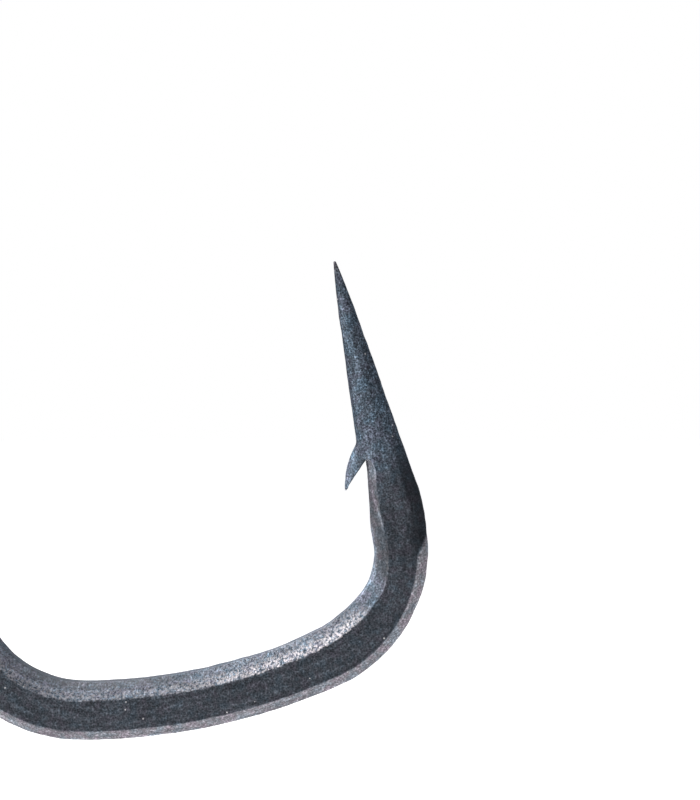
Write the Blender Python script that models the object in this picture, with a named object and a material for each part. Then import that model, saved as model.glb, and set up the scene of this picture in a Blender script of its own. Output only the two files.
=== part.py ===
"""Swivel meat hook: a barbed, forged hook that turns in a bow yoke, which swings under a rail hook.

Lengths are in metres and +Z is up. The origin is the rail seat, the middle of the underside of the
rail hook's crown. Both hooks lie in the XZ plane, with the barbed point on the +X side. The lower
hook turns about Z, and the yoke swings about the clevis pin, which lies along X.
"""
import math

import bmesh
import bpy
from mathutils import Vector

# Clearances
GAP = 0.0003  # left between pieces that touch
RUN = 0.00035  # radial play of a shaft in its bush
CUTTER_REACH = 0.03  # blanks and through cutters run this far each way
OVERSHOOT = 0.0001  # keeps a cutter's end off the face beside it

# Bar of both hooks
BAR_RADIUS = 0.006

# Rail hook
CROOK_INNER_RADIUS = 0.022
CROOK_TIP_ANGLE = 172.0  # degrees round from +X, where the blunt tip ends
NECK_BEND_RADIUS = 0.020
NECK_LENGTH = 0.006
EYE_RADIUS = 0.015
EYE_WIDTH = 0.016
EYE_BUSH_RADIUS = 0.007

# Clevis pin
PIN_RADIUS = 0.005
PIN_HEAD_RADIUS = 0.008
PIN_HEAD_LENGTH = 0.004
PIN_CHAMFER = 0.001
PIN_TAIL = 0.006  # past the washer
SPACER_THICKNESS = 0.0017
WASHER_THICKNESS = 0.002
WASHER_RADIUS = 0.0105

# Swivel yoke
PIN_ABOVE_BOSS = 0.052
BOSS_HEIGHT = 0.016
FOOT_HALF_WIDTH = 0.0135
FOOT_SLOPE_HEIGHT = 0.0085
CHEEK_THICKNESS = 0.0065
WINDOW_HALF_WIDTH = 0.0155
WINDOW_CORNER = 0.003
SHOULDER_LENGTH = 0.010
SHOULDER_STEP = 0.003  # the inner shoulder lies this much above the outer one
BOSS_HALF_DEPTH = 0.0145
BOSS_CHAMFER = 0.002
CHEEK_TAPER = 0.008  # height over which the boss narrows to the cheeks
CHEEK_HALF_DEPTH = 0.0105
EAR_RADIUS = 0.0125
EAR_ARC_START = 30.0  # degrees up from the horizontal, on both sides
GREASE_BORE_DEPTH = 0.005

# Swivel journal, bush, washers and nut
JOURNAL_RADIUS = 0.006
THREAD_RADIUS = 0.0058
BUSH_RADIUS = 0.008
FLANGE_RADIUS = 0.012
FLANGE_THICKNESS = 0.002
COLLAR_RADIUS = 0.011
COLLAR_THICKNESS = 0.005
COLLAR_FILLET = 0.0045
SHAFT_CHAMFER = 0.0008
NUT_FLATS = 0.019  # across flats
NUT_HEX_HEIGHT = 0.010
NUT_CROWN_HEIGHT = 0.005
NUT_CROWN_RADIUS = 0.0086
NUT_SLOT = 0.0038
NUT_CORNER_CUT = 0.0015
THREAD_END = 0.0014  # past the nut

# Split pins
COTTER_WIRE_RADIUS = 0.0007
COTTER_HOLE_RADIUS = 0.0020
COTTER_LOOP_RADIUS = 0.0019
COTTER_LOOP_STAND_OFF = 0.0005
COTTER_BEND_RADIUS = 0.0014
COTTER_TAIL = 0.0028

# Lower hook: centre line from the journal down, round the bowl and up to the point
NECK_BELOW_COLLAR = 0.007
GOOSENECK_RADIUS = 0.028
GOOSENECK_TURN = 60.0
SHANK_LENGTH = 0.127
HEEL_RADIUS = 0.028
BOTTOM_RADIUS = 0.127
BOTTOM_TURN = 24.0
FRONT_RADIUS = 0.0248
EASE_RADIUS = 0.050
POINT_LEAN = 13.8  # degrees from upright
POINT_LENGTH = 0.050

# Lower hook: section, by distance from the tip
POINT_NIB_RADIUS = 0.0003
POINT_TAPER = 0.1  # radius gained per length
POINT_OGIVE = 0.0005
POINT_OGIVE_LENGTH = 0.0025
POINT_BLEND = 40  # higher makes a sharper change from the cone to the bar
FORGED_HALF_THICKNESS = 0.0047
FORGED_EDGE_SHARE = 0.5  # of the half thickness, between the bevels
INNER_BEVEL = 0.0035
INNER_BEVEL_AT_CROTCH = 0.00175
OUTER_BEVEL = 0.0021
FLATTENS_FROM = 0.038
FLAT_AT = 0.056
OUTER_BEVEL_AT = 0.064
FLAT_UNTIL = 0.200
ROUND_AGAIN_AT = 0.235

# Barb and the chisel cut under it. A place is (distance from the tip, distance from the centre line).
CROTCH_AT = 0.0418
CROTCH_STEP = 0.0006  # length of the step from the cut up to the round point
CUT_LENGTH = 0.021
CUT_DEPTH = 0.00145
# How the cut's depth changes along the point: from, to and change
CUT_CHANGES = (
    (CROTCH_AT, 0.0570, -0.00100),  # it runs out away from the barb
    (0.0600, 0.0635, 0.00055),  # the notch where the chisel started
    (0.0665, 0.0840, -0.00140),  # the metal swells inside the bend
    (0.0860, 0.1000, 0.00040),  # and settles back to the round bar's size
)
BARB_ROOT = (0.0380, 0.0045)
BARB_BULGE = (0.0418, 0.0084)
BARB_TIP = (0.0470, 0.0093)
BARB_HEEL = (0.0392, 0.0007)
BARB_HALF_WIDTH = 0.0036

# Grease nipple. Heights are above the yoke's face.
NIPPLE_STEM_RADIUS = 0.0027
NIPPLE_STEM_END = -0.0045
NIPPLE_BODY_RADIUS = 0.0045
NIPPLE_BODY_TOP = 0.0033
NIPPLE_TIP = (
    (0.0024, 0.0040),  # neck
    (0.0022, 0.0062),
    (0.0032, 0.0074),  # head that the grease gun grips
    (0.0032, 0.0084),
    (0.0018, 0.0098),
)

# Heights worked out downwards from the rail seat
CROOK_RADIUS = CROOK_INNER_RADIUS + BAR_RADIUS
NECK_SPAN = NECK_BEND_RADIUS + CROOK_RADIUS
NECK_TURN = math.degrees(math.acos(NECK_BEND_RADIUS / NECK_SPAN))
NECK_END_Z = -CROOK_INNER_RADIUS - NECK_SPAN * math.sin(math.radians(NECK_TURN))
PIN_Z = NECK_END_Z - NECK_LENGTH - EYE_RADIUS
BOSS_Z = PIN_Z - PIN_ABOVE_BOSS
FLANGE_Z = BOSS_Z - GAP - FLANGE_THICKNESS
THRUST_WASHER_Z = FLANGE_Z - GAP - WASHER_THICKNESS
COLLAR_Z = THRUST_WASHER_Z - GAP
NUT_WASHER_Z = BOSS_Z + BOSS_HEIGHT + GAP
NUT_Z = NUT_WASHER_Z + WASHER_THICKNESS + GAP
NUT_TOP_Z = NUT_Z + NUT_HEX_HEIGHT + NUT_CROWN_HEIGHT
COTTER_Z = NUT_TOP_Z - NUT_CROWN_HEIGHT / 2
SHAFT_TOP_Z = NUT_TOP_Z + THREAD_END

# Half widths along X, outwards from the middle of the eye
SPACER_X = EYE_WIDTH / 2 + GAP
EAR_INNER_X = SPACER_X + SPACER_THICKNESS + GAP
EAR_OUTER_X = EAR_INNER_X + CHEEK_THICKNESS
PIN_WASHER_X = EAR_OUTER_X + GAP
PIN_COTTER_X = PIN_WASHER_X + WASHER_THICKNESS + GAP + COTTER_HOLE_RADIUS

ROUND_SIDES = 32
CROOK_SIDES = 20


def clear_scene():
    for thing in list(bpy.data.objects):
        bpy.data.objects.remove(thing, do_unlink=True)


def material(name, colour, metallic, roughness):
    """A plain Principled material."""
    new = bpy.data.materials.new(name)
    new.use_nodes = True
    shader = new.node_tree.nodes["Principled BSDF"]
    shader.inputs["Base Color"].default_value = (*colour, 1.0)
    shader.inputs["Metallic"].default_value = metallic
    shader.inputs["Roughness"].default_value = roughness
    new.diffuse_color = (*colour, 1.0)
    return new


def add_object(name, bm, finish, smooth_below=35.0):
    """Turns a closed bmesh into a named object with outward faces."""
    bmesh.ops.recalc_face_normals(bm, faces=bm.faces[:])
    mesh = bpy.data.meshes.new(name)
    bm.to_mesh(mesh)
    bm.free()
    mesh.shade_smooth()
    mesh.set_sharp_from_angle(angle=math.radians(smooth_below))
    mesh.materials.append(finish)
    thing = bpy.data.objects.new(name, mesh)
    bpy.context.collection.objects.link(thing)
    return thing


def place(thing, parent, location=(0, 0, 0), rotation=(0, 0, 0)):
    """Parents an object to a joint's empty and sets where it lies in it."""
    thing.parent = parent
    thing.location = location
    thing.rotation_euler = [math.radians(angle) for angle in rotation]


def combine(body, tool, operation):
    """Cuts, joins or intersects a body with a tool object, which stays as a hidden guide on it."""
    tool.parent = body
    tool.hide_render = True
    tool.display_type = "WIRE"
    modifier = body.modifiers.new(tool.name, "BOOLEAN")
    modifier.operation = operation
    modifier.solver = "EXACT"
    modifier.object = tool


def joint_empty(name, location):
    """An empty on a joint's axis."""
    empty = bpy.data.objects.new(name, None)
    empty.empty_display_size = 0.02
    empty.location = location
    bpy.context.collection.objects.link(empty)
    return empty


def smooth_step(value, low, high):
    """0 below low, 1 above high and smooth between."""
    share = min(max((value - low) / (high - low), 0.0), 1.0)
    return share * share * (3 - 2 * share)


def loft(rings):
    """A closed bmesh through rings of equal length, capped at both ends."""
    bm = bmesh.new()
    loops = [[bm.verts.new(point) for point in ring] for ring in rings]
    count = len(loops[0])
    for near, far in zip(loops, loops[1:]):
        for i in range(count):
            j = (i + 1) % count
            bm.faces.new((near[i], near[j], far[j], far[i]))
    bm.faces.new(loops[0])
    bm.faces.new(loops[-1])
    return bm


def circle(radius, sides=ROUND_SIDES):
    """Points round a circle in its own plane."""
    turns = [2 * math.pi * i / sides for i in range(sides)]
    return [(radius * math.cos(turn), radius * math.sin(turn)) for turn in turns]


def turned(profile, sides=ROUND_SIDES):
    """A solid turned about Z from (radius, height) points that run from end to end."""
    return loft([[(x, y, height) for x, y in circle(radius, sides)] for radius, height in profile])


def turned_ring(inner, outer, low, high, sides=ROUND_SIDES):
    """A plain ring about Z, such as a washer."""
    bm = bmesh.new()
    corners = ((inner, low), (outer, low), (outer, high), (inner, high))
    loops = [[bm.verts.new((x, y, z)) for x, y in circle(radius, sides)] for radius, z in corners]
    for k, near in enumerate(loops):
        far = loops[(k + 1) % len(loops)]
        for i in range(sides):
            j = (i + 1) % sides
            bm.faces.new((near[i], near[j], far[j], far[i]))
    return bm


def prism(outline, low, high, axis):
    """A straight solid: an outline in the plane across an axis, drawn out from low to high."""
    spots = {"X": lambda a, b, t: (t, a, b), "Y": lambda a, b, t: (a, t, b), "Z": lambda a, b, t: (a, b, t)}
    return loft([[spots[axis](a, b, t) for a, b in outline] for t in (low, high)])


def cylinder(radius, low, high, axis, sides=ROUND_SIDES):
    """A straight cylinder about an axis through the origin."""
    return prism(circle(radius, sides), low, high, axis)


def through_cylinder(radius, axis, sides=ROUND_SIDES):
    """A cylinder long enough to bore through any piece."""
    return cylinder(radius, -CUTTER_REACH, CUTTER_REACH, axis, sides)


def centre_line(start, heading, runs):
    """Stations along straights and arcs in one plane.

    A run is (length, 0, parts) or (radius, degrees, parts), with degrees positive to the left. Each
    station is (x, z, heading in radians, distance from the start).
    """
    x, z = start
    heading = math.radians(heading)
    distance = 0.0
    stations = [(x, z, heading, distance)]
    for size, degrees, parts in runs:
        turn = math.radians(degrees) / parts
        step = size * abs(turn) if degrees else size / parts
        chord = 2 * size * math.sin(abs(turn) / 2) if degrees else step
        for _ in range(parts):
            x += chord * math.cos(heading + turn / 2)
            z += chord * math.sin(heading + turn / 2)
            heading += turn
            distance += step
            stations.append((x, z, heading, distance))
    return stations


def bar_ring(station, section):
    """Places a section across a centre line in the XZ plane. Its u side faces right of the heading."""
    x, z, heading = station[:3]
    right = (math.sin(heading), -math.cos(heading))
    return [(x + u * right[0], v, z + u * right[1]) for u, v in section]


def moved_along(station, step):
    """The station moved straight along its heading."""
    x, z, heading = station[:3]
    return (x + step * math.cos(heading), z + step * math.sin(heading), heading)


def point_radius(reach):
    """Radius of the round bar at a distance from the tip: an ogive, a cone, then the full bar."""
    cone = POINT_NIB_RADIUS + POINT_TAPER * reach
    cone += POINT_OGIVE * (1 - math.exp(-reach / POINT_OGIVE_LENGTH))
    softness = BAR_RADIUS / POINT_BLEND
    return -softness * math.log(math.exp(-cone / softness) + math.exp(-BAR_RADIUS / softness))


def cut_depth(reach):
    """How far the inner side lies below the round bar, because of the cut under the barb and the bend."""
    if reach < CROTCH_AT:
        return 0.0
    changes = [change * smooth_step(reach, low, high) for low, high, change in CUT_CHANGES]
    return CUT_DEPTH + sum(changes)


# The directions of the eight corners of the forged section, for where the bar is round
ROUND_CORNERS = (
    (-0.42, 1.0),
    (0.65, 1.0),
    (1.0, 0.5),
    (1.0, -0.5),
    (0.65, -1.0),
    (-0.42, -1.0),
    (-1.0, -0.5),
    (-1.0, 0.5),
)


def hook_section(reach):
    """Section of the lower hook, from round to forged flat with two bevels, as (u, v) points.

    u is positive on the outer side of the bowl, and v is across the hook.
    """
    radius = point_radius(reach)
    ends = 1 - smooth_step(reach, FLAT_UNTIL, ROUND_AGAIN_AT)
    flat = smooth_step(reach, FLATTENS_FROM, FLAT_AT) * ends
    inner_edge = smooth_step(reach, CROTCH_AT - CROTCH_STEP, CROTCH_AT) * ends
    outer_edge = smooth_step(reach, FLAT_AT, OUTER_BEVEL_AT) * ends
    half = radius + (FORGED_HALF_THICKNESS - radius) * flat
    inner = radius - cut_depth(reach)
    widening = smooth_step(reach, CROTCH_AT, CROTCH_AT + CUT_LENGTH)
    inner_bevel = INNER_BEVEL_AT_CROTCH + (INNER_BEVEL - INNER_BEVEL_AT_CROTCH) * widening
    edge_half = half * FORGED_EDGE_SHARE
    corners = (
        (inner_bevel - inner, half),
        (radius - OUTER_BEVEL, half),
        (radius, edge_half),
        (radius, -edge_half),
        (radius - OUTER_BEVEL, -half),
        (inner_bevel - inner, -half),
        (-inner, -edge_half),
        (-inner, edge_half),
    )
    if flat <= 0.0 and inner_edge <= 0.0:
        corners = tuple((x * radius, y * radius) for x, y in ROUND_CORNERS)
    points = []
    for k, (u0, v0) in enumerate(corners):
        u1, v1 = corners[(k + 1) % len(corners)]
        parts = 3 if k % 2 == 0 else 2
        for i in range(parts):
            u = u0 + (u1 - u0) * i / parts
            v = v0 + (v1 - v0) * i / parts
            side, edge = (radius, outer_edge) if u > 0 else (inner, inner_edge)
            turn = math.atan2(v / half, u / side)
            round_u = side * math.cos(turn)
            round_v = half * math.sin(turn)
            points.append((u * edge + round_u * (1 - edge), v * edge + round_v * (1 - edge)))
    return points


def lower_hook_line():
    """Centre line of the lower hook, from below its collar to the tip."""
    top = COLLAR_Z - COLLAR_THICKNESS - NECK_BELOW_COLLAR
    runs = (
        (GOOSENECK_RADIUS, -GOOSENECK_TURN, 6),
        (GOOSENECK_RADIUS, GOOSENECK_TURN, 6),
        (SHANK_LENGTH, 0, 7),
        (HEEL_RADIUS, 90.0, 9),
        (BOTTOM_RADIUS, BOTTOM_TURN, 5),
        (FRONT_RADIUS, 90.0 - BOTTOM_TURN, 8),
        (EASE_RADIUS, POINT_LEAN, 5),
        (POINT_LENGTH - CROTCH_AT, 0, 3),
        (CROTCH_AT, 0, 14),
    )
    return centre_line((0.0, top), -90.0, runs)


def barb(tip, finish):
    """The sliver raised by the chisel: flat towards the bar, round outside, thin at its free end."""
    x, z, heading = tip[:3]
    back = Vector((-math.cos(heading), 0, -math.sin(heading)))
    inward = Vector((-math.sin(heading), 0, math.cos(heading)))
    rings = []
    for share in (0.0, 0.15, 0.3, 0.45, 0.6, 0.75, 0.88, 0.97):
        root, bulge, free = (1 - share) ** 2, 2 * share * (1 - share), share**2
        outer = [root * a + bulge * b + free * c for a, b, c in zip(BARB_ROOT, BARB_BULGE, BARB_TIP)]
        inner = [(1 - share) * a + share * b for a, b in zip(BARB_HEEL, BARB_TIP)]
        half_width = BARB_HALF_WIDTH * (1 - 0.8 * free)
        ring = []
        for degrees in (-90, -60, -30, 0, 30, 60, 90):
            angle = math.radians(degrees)
            along, out = [i + (o - i) * math.cos(angle) for i, o in zip(inner, outer)]
            middle = Vector((x, 0, z)) + back * along + inward * out
            ring.append(middle + Vector((0, half_width * math.sin(angle), 0)))
        rings.append(ring)
    return add_object("barb_sliver", loft(rings), finish)


def lower_hook(finish):
    """The forged hook, with its collar, journal and threaded end."""
    stations = lower_hook_line()
    length = stations[-1][3]
    rings = []
    for station in stations:
        reach = length - station[3]
        if abs(reach - CROTCH_AT) < CROTCH_STEP / 10:
            rings.append(bar_ring(station, hook_section(CROTCH_AT)))
            reach -= CROTCH_STEP
            station = moved_along(station, CROTCH_STEP)
        rings.append(bar_ring(station, hook_section(max(reach, 0.0))))
    unit = [(u / BAR_RADIUS, v / BAR_RADIUS) for u, v in hook_section(length)]
    collar_low = COLLAR_Z - COLLAR_THICKNESS
    shaft = (
        (THREAD_RADIUS - SHAFT_CHAMFER, SHAFT_TOP_Z),
        (THREAD_RADIUS, SHAFT_TOP_Z - SHAFT_CHAMFER),
        (THREAD_RADIUS, NUT_WASHER_Z),
        (JOURNAL_RADIUS, NUT_WASHER_Z - SHAFT_CHAMFER),
        (JOURNAL_RADIUS, COLLAR_Z),
        (COLLAR_RADIUS - SHAFT_CHAMFER, COLLAR_Z),
        (COLLAR_RADIUS, COLLAR_Z - SHAFT_CHAMFER),
        (COLLAR_RADIUS, collar_low + COLLAR_FILLET / 3),
        (BAR_RADIUS + COLLAR_FILLET / 4, collar_low - COLLAR_FILLET / 3),
        (BAR_RADIUS, collar_low - COLLAR_FILLET),
    )
    top = [bar_ring((0.0, z, math.radians(-90)), [(u * r, v * r) for u, v in unit]) for r, z in shaft]
    body = add_object("lower_hook", loft(top + rings), finish)
    combine(body, barb(stations[-1], finish), "UNION")
    hole = add_object("nut_cotter_hole", through_cylinder(COTTER_HOLE_RADIUS, "Y", 16), finish)
    hole.location = (0, 0, COTTER_Z)
    combine(body, hole, "DIFFERENCE")
    return body


def rail_hook(finish):
    """The upper hook: a blunt crook over the rail, an S neck and an eye for the clevis pin."""
    tip = math.radians(CROOK_TIP_ANGLE)
    tip_x = CROOK_RADIUS * math.cos(tip)
    tip_z = CROOK_RADIUS * math.sin(tip) - CROOK_INNER_RADIUS
    runs = (
        (CROOK_RADIUS, 90.0 - CROOK_TIP_ANGLE, 9),
        (CROOK_RADIUS, -90.0, 9),
        (CROOK_RADIUS, -NECK_TURN, 6),
        (NECK_BEND_RADIUS, NECK_TURN, 6),
        (NECK_LENGTH + EYE_RADIUS / 2, 0, 2),
    )
    stations = centre_line((tip_x, tip_z), CROOK_TIP_ANGLE - 90.0, runs)
    rings = []
    for degrees in (10, 30, 50, 70):
        angle = math.radians(degrees)
        spot = moved_along(stations[0], -BAR_RADIUS * math.cos(angle))
        rings.append(bar_ring(spot, circle(BAR_RADIUS * math.sin(angle), CROOK_SIDES)))
    rings += [bar_ring(station, circle(BAR_RADIUS, CROOK_SIDES)) for station in stations]
    body = add_object("rail_hook", loft(rings), finish)
    eye = add_object("eye_boss", cylinder(EYE_RADIUS, -EYE_WIDTH / 2, EYE_WIDTH / 2, "X", 40), finish)
    eye.location = (0, 0, PIN_Z)
    combine(body, eye, "UNION")
    bore = add_object("eye_bore", through_cylinder(EYE_BUSH_RADIUS + GAP, "X"), finish)
    bore.location = (0, 0, PIN_Z)
    combine(body, bore, "DIFFERENCE")
    return body


def yoke_side():
    """The yoke's outline from the side, drawn out along X: deep at the foot, round at the ears."""
    right = [
        (BOSS_HALF_DEPTH - BOSS_CHAMFER, 0.0),
        (BOSS_HALF_DEPTH, BOSS_CHAMFER),
        (BOSS_HALF_DEPTH, BOSS_HEIGHT - BOSS_CHAMFER),
        (CHEEK_HALF_DEPTH, BOSS_HEIGHT + CHEEK_TAPER),
    ]
    parts = 10
    ear = []
    for i in range(parts + 1):
        turn = math.radians(EAR_ARC_START + (180.0 - 2 * EAR_ARC_START) * i / parts)
        ear.append((EAR_RADIUS * math.cos(turn), PIN_ABOVE_BOSS + EAR_RADIUS * math.sin(turn)))
    side = right + ear + [(-y, z) for y, z in reversed(right)]
    return prism(side, -CUTTER_REACH, CUTTER_REACH, "X")


def swivel_yoke(finish):
    """The bow: a thick foot bored for the swivel bush and two cheeks with ears for the clevis pin."""
    wide = WINDOW_HALF_WIDTH + CHEEK_THICKNESS
    ear_top = PIN_ABOVE_BOSS + 1.1 * EAR_RADIUS
    shoulder = PIN_ABOVE_BOSS - EAR_RADIUS
    right = (
        (FOOT_HALF_WIDTH, 0.0),
        (wide, FOOT_SLOPE_HEIGHT),
        (wide, shoulder - SHOULDER_LENGTH),
        (EAR_OUTER_X, shoulder),
        (EAR_OUTER_X, ear_top),
        (EAR_INNER_X, ear_top),
        (EAR_INNER_X, shoulder + SHOULDER_STEP),
        (WINDOW_HALF_WIDTH, shoulder + SHOULDER_STEP - SHOULDER_LENGTH),
        (WINDOW_HALF_WIDTH, BOSS_HEIGHT + WINDOW_CORNER),
        (WINDOW_HALF_WIDTH - WINDOW_CORNER, BOSS_HEIGHT),
    )
    front = list(right) + [(-x, z) for x, z in reversed(right)]
    body = add_object("swivel_yoke", prism(front, -CUTTER_REACH, CUTTER_REACH, "Y"), finish)
    combine(body, add_object("yoke_side_outline", yoke_side(), finish), "INTERSECT")
    bush_bore = add_object("bush_bore", through_cylinder(BUSH_RADIUS + GAP, "Z"), finish)
    combine(body, bush_bore, "DIFFERENCE")
    pin_bore = add_object("pin_bore", through_cylinder(PIN_RADIUS + GAP, "X"), finish)
    pin_bore.location = (0, 0, PIN_ABOVE_BOSS)
    combine(body, pin_bore, "DIFFERENCE")
    bore_end = GREASE_BORE_DEPTH - BOSS_HALF_DEPTH
    grease_bore = cylinder(NIPPLE_STEM_RADIUS + GAP, -CUTTER_REACH, bore_end, "Y", 16)
    grease_bore = add_object("grease_bore", grease_bore, finish)
    grease_bore.location = (0, 0, BOSS_HEIGHT / 2)
    combine(body, grease_bore, "DIFFERENCE")
    return body


def flanged_bush(finish):
    """The swivel bush: a sleeve in the yoke's foot with a flange under it."""
    sleeve = BOSS_HEIGHT - GAP
    body = add_object("swivel_bush", cylinder(BUSH_RADIUS, -GAP - FLANGE_THICKNESS, sleeve, "Z"), finish)
    flange = cylinder(FLANGE_RADIUS, -GAP - FLANGE_THICKNESS, -GAP, "Z")
    combine(body, add_object("bush_flange", flange, finish), "UNION")
    bore = add_object("journal_bore", through_cylinder(JOURNAL_RADIUS + RUN, "Z"), finish)
    combine(body, bore, "DIFFERENCE")
    return body


def washer(name, inner, outer, thickness, finish):
    return add_object(name, turned_ring(inner, outer, 0.0, thickness), finish)


def castle_nut(finish):
    """A hexagon nut with a slotted crown for the split pin."""
    corner = NUT_FLATS / 2 / math.cos(math.radians(30))
    turns = [math.radians(60 * i + 30) for i in range(6)]
    hexagon = [(corner * math.cos(turn), corner * math.sin(turn)) for turn in turns]
    top = NUT_HEX_HEIGHT + NUT_CROWN_HEIGHT
    body = add_object("castle_nut", prism(hexagon, 0.0, NUT_HEX_HEIGHT, "Z"), finish)
    ends = (-OVERSHOOT, NUT_CORNER_CUT, NUT_HEX_HEIGHT - NUT_CORNER_CUT, NUT_HEX_HEIGHT + OVERSHOOT)
    radii = (corner - NUT_CORNER_CUT, corner + OVERSHOOT, corner + OVERSHOOT, corner - NUT_CORNER_CUT)
    cone = turned(tuple(zip(radii, ends)), 48)
    combine(body, add_object("nut_corner_chamfer", cone, finish), "INTERSECT")
    crown = cylinder(NUT_CROWN_RADIUS, NUT_HEX_HEIGHT / 2, top, "Z")
    combine(body, add_object("nut_crown", crown, finish), "UNION")
    bore = add_object("nut_bore", through_cylinder(THREAD_RADIUS + GAP, "Z"), finish)
    combine(body, bore, "DIFFERENCE")
    half = NUT_SLOT / 2
    square = [(-half, 0.0), (half, 0.0), (half, CUTTER_REACH), (-half, CUTTER_REACH)]
    for i in range(3):
        slot = prism(square, -CUTTER_REACH, CUTTER_REACH, "Y")
        slot = add_object(f"nut_slot_{i + 1}", slot, finish)
        slot.location = (0, 0, NUT_HEX_HEIGHT)
        slot.rotation_euler = (0, 0, math.radians(60 * i))
        combine(body, slot, "DIFFERENCE")
    return body


def clevis_pin(finish):
    """A headed pin, turned about Z with its head down, for laying along X."""
    tip = PIN_WASHER_X + WASHER_THICKNESS + PIN_TAIL
    seat = -EAR_OUTER_X - GAP
    head = seat - PIN_HEAD_LENGTH
    profile = (
        (PIN_HEAD_RADIUS - PIN_CHAMFER, head),
        (PIN_HEAD_RADIUS, head + PIN_CHAMFER),
        (PIN_HEAD_RADIUS, seat),
        (PIN_RADIUS, seat),
        (PIN_RADIUS, tip - PIN_CHAMFER),
        (PIN_RADIUS - PIN_CHAMFER, tip),
    )
    body = add_object("clevis_pin", turned(profile), finish)
    hole = add_object("pin_cotter_hole", through_cylinder(COTTER_HOLE_RADIUS, "X", 16), finish)
    hole.location = (0, 0, PIN_COTTER_X)
    combine(body, hole, "DIFFERENCE")
    return body


def split_pin(name, reach, finish):
    """A split pin of one bent wire, along Y: a loop, two legs side by side, tails bent apart.

    reach is the distance from the middle to where the legs leave the piece that they hold.
    """
    leg_x = COTTER_WIRE_RADIUS + GAP / 2
    turn = math.degrees(math.acos((COTTER_LOOP_RADIUS + leg_x) / COTTER_LOOP_RADIUS / 2))
    leg = 2 * reach + COTTER_LOOP_STAND_OFF
    half = (
        (COTTER_TAIL, 0, 1),
        (COTTER_BEND_RADIUS, 90.0, 4),
        (leg, 0, 2),
        (COTTER_LOOP_RADIUS, turn, 2),
    )
    loop_turn = 180.0 + 2 * turn
    runs = half + ((COTTER_LOOP_RADIUS, -loop_turn, 14),) + tuple(reversed(half))
    line = centre_line((0.0, 0.0), 180.0, runs)
    middle_x = (line[0][0] + line[-1][0]) / 2
    tail_y = line[0][1]
    ring = circle(COTTER_WIRE_RADIUS, 8)
    rings = []
    for x, y, heading, _ in line:
        middle = (x - middle_x, reach + COTTER_BEND_RADIUS + y - tail_y)
        right = (math.sin(heading), -math.cos(heading))
        rings.append([(middle[0] + u * right[0], middle[1] + u * right[1], v) for u, v in ring])
    return add_object(name, loft(rings), finish)


def grease_nipple(finish):
    """A straight nipple, turned about Z, with its stem down."""
    profile = (
        (NIPPLE_STEM_RADIUS, NIPPLE_STEM_END),
        (NIPPLE_STEM_RADIUS, GAP),
        (NIPPLE_BODY_RADIUS, GAP),
        (NIPPLE_BODY_RADIUS, NIPPLE_BODY_TOP),
    )
    return add_object("grease_nipple", turned(profile + NIPPLE_TIP, 16), finish)


def build():
    clear_scene()
    forged = material("forged_steel", (0.075, 0.085, 0.1), 0.85, 0.45)
    plated = material("plated_steel", (0.55, 0.56, 0.58), 1.0, 0.35)
    bronze = material("bronze", (0.52, 0.33, 0.14), 1.0, 0.4)

    swing = joint_empty("yoke_swing_axis", (0, 0, PIN_Z))
    foot = joint_empty("yoke_foot", (0, 0, -PIN_ABOVE_BOSS))
    foot.parent = swing
    swivel = joint_empty("hook_swivel_axis", (0, 0, 0))
    swivel.parent = foot

    rail_hook(forged)
    eye_bush = add_object(
        "eye_bush",
        turned_ring(PIN_RADIUS + RUN, EYE_BUSH_RADIUS, -EYE_WIDTH / 2, EYE_WIDTH / 2),
        bronze,
    )
    eye_bush.location = (0, 0, PIN_Z)
    eye_bush.rotation_euler = (0, math.radians(90), 0)

    place(swivel_yoke(forged), foot)
    place(flanged_bush(bronze), foot)
    place(clevis_pin(plated), swing, rotation=(0, 90, 0))
    pin_washer = washer("clevis_pin_washer", PIN_RADIUS + GAP, WASHER_RADIUS, WASHER_THICKNESS, plated)
    place(pin_washer, swing, (PIN_WASHER_X, 0, 0), (0, 90, 0))
    place(split_pin("clevis_cotter", PIN_RADIUS, plated), swing, (PIN_COTTER_X, 0, 0), (90, 0, 90))
    for name, x in (("left_spacer", -SPACER_X - SPACER_THICKNESS), ("right_spacer", SPACER_X)):
        spacer = washer(name, PIN_RADIUS + GAP, WASHER_RADIUS, SPACER_THICKNESS, bronze)
        place(spacer, swing, (x, 0, 0), (0, 90, 0))
    place(grease_nipple(plated), foot, (0, -BOSS_HALF_DEPTH, BOSS_HEIGHT / 2), (90, 0, 0))

    lower_hook(forged)
    thrust = washer("thrust_washer", JOURNAL_RADIUS + RUN, FLANGE_RADIUS, WASHER_THICKNESS, bronze)
    place(thrust, swivel, (0, 0, THRUST_WASHER_Z - BOSS_Z))
    plain = washer("nut_washer", JOURNAL_RADIUS + GAP, FLANGE_RADIUS, WASHER_THICKNESS, plated)
    place(plain, swivel, (0, 0, NUT_WASHER_Z - BOSS_Z))
    nut = castle_nut(plated)
    place(nut, swivel, (0, 0, NUT_Z - BOSS_Z))
    place(split_pin("nut_cotter", NUT_CROWN_RADIUS, plated), swivel, (0, 0, COTTER_Z - BOSS_Z))


build()
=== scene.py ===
import math

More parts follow.
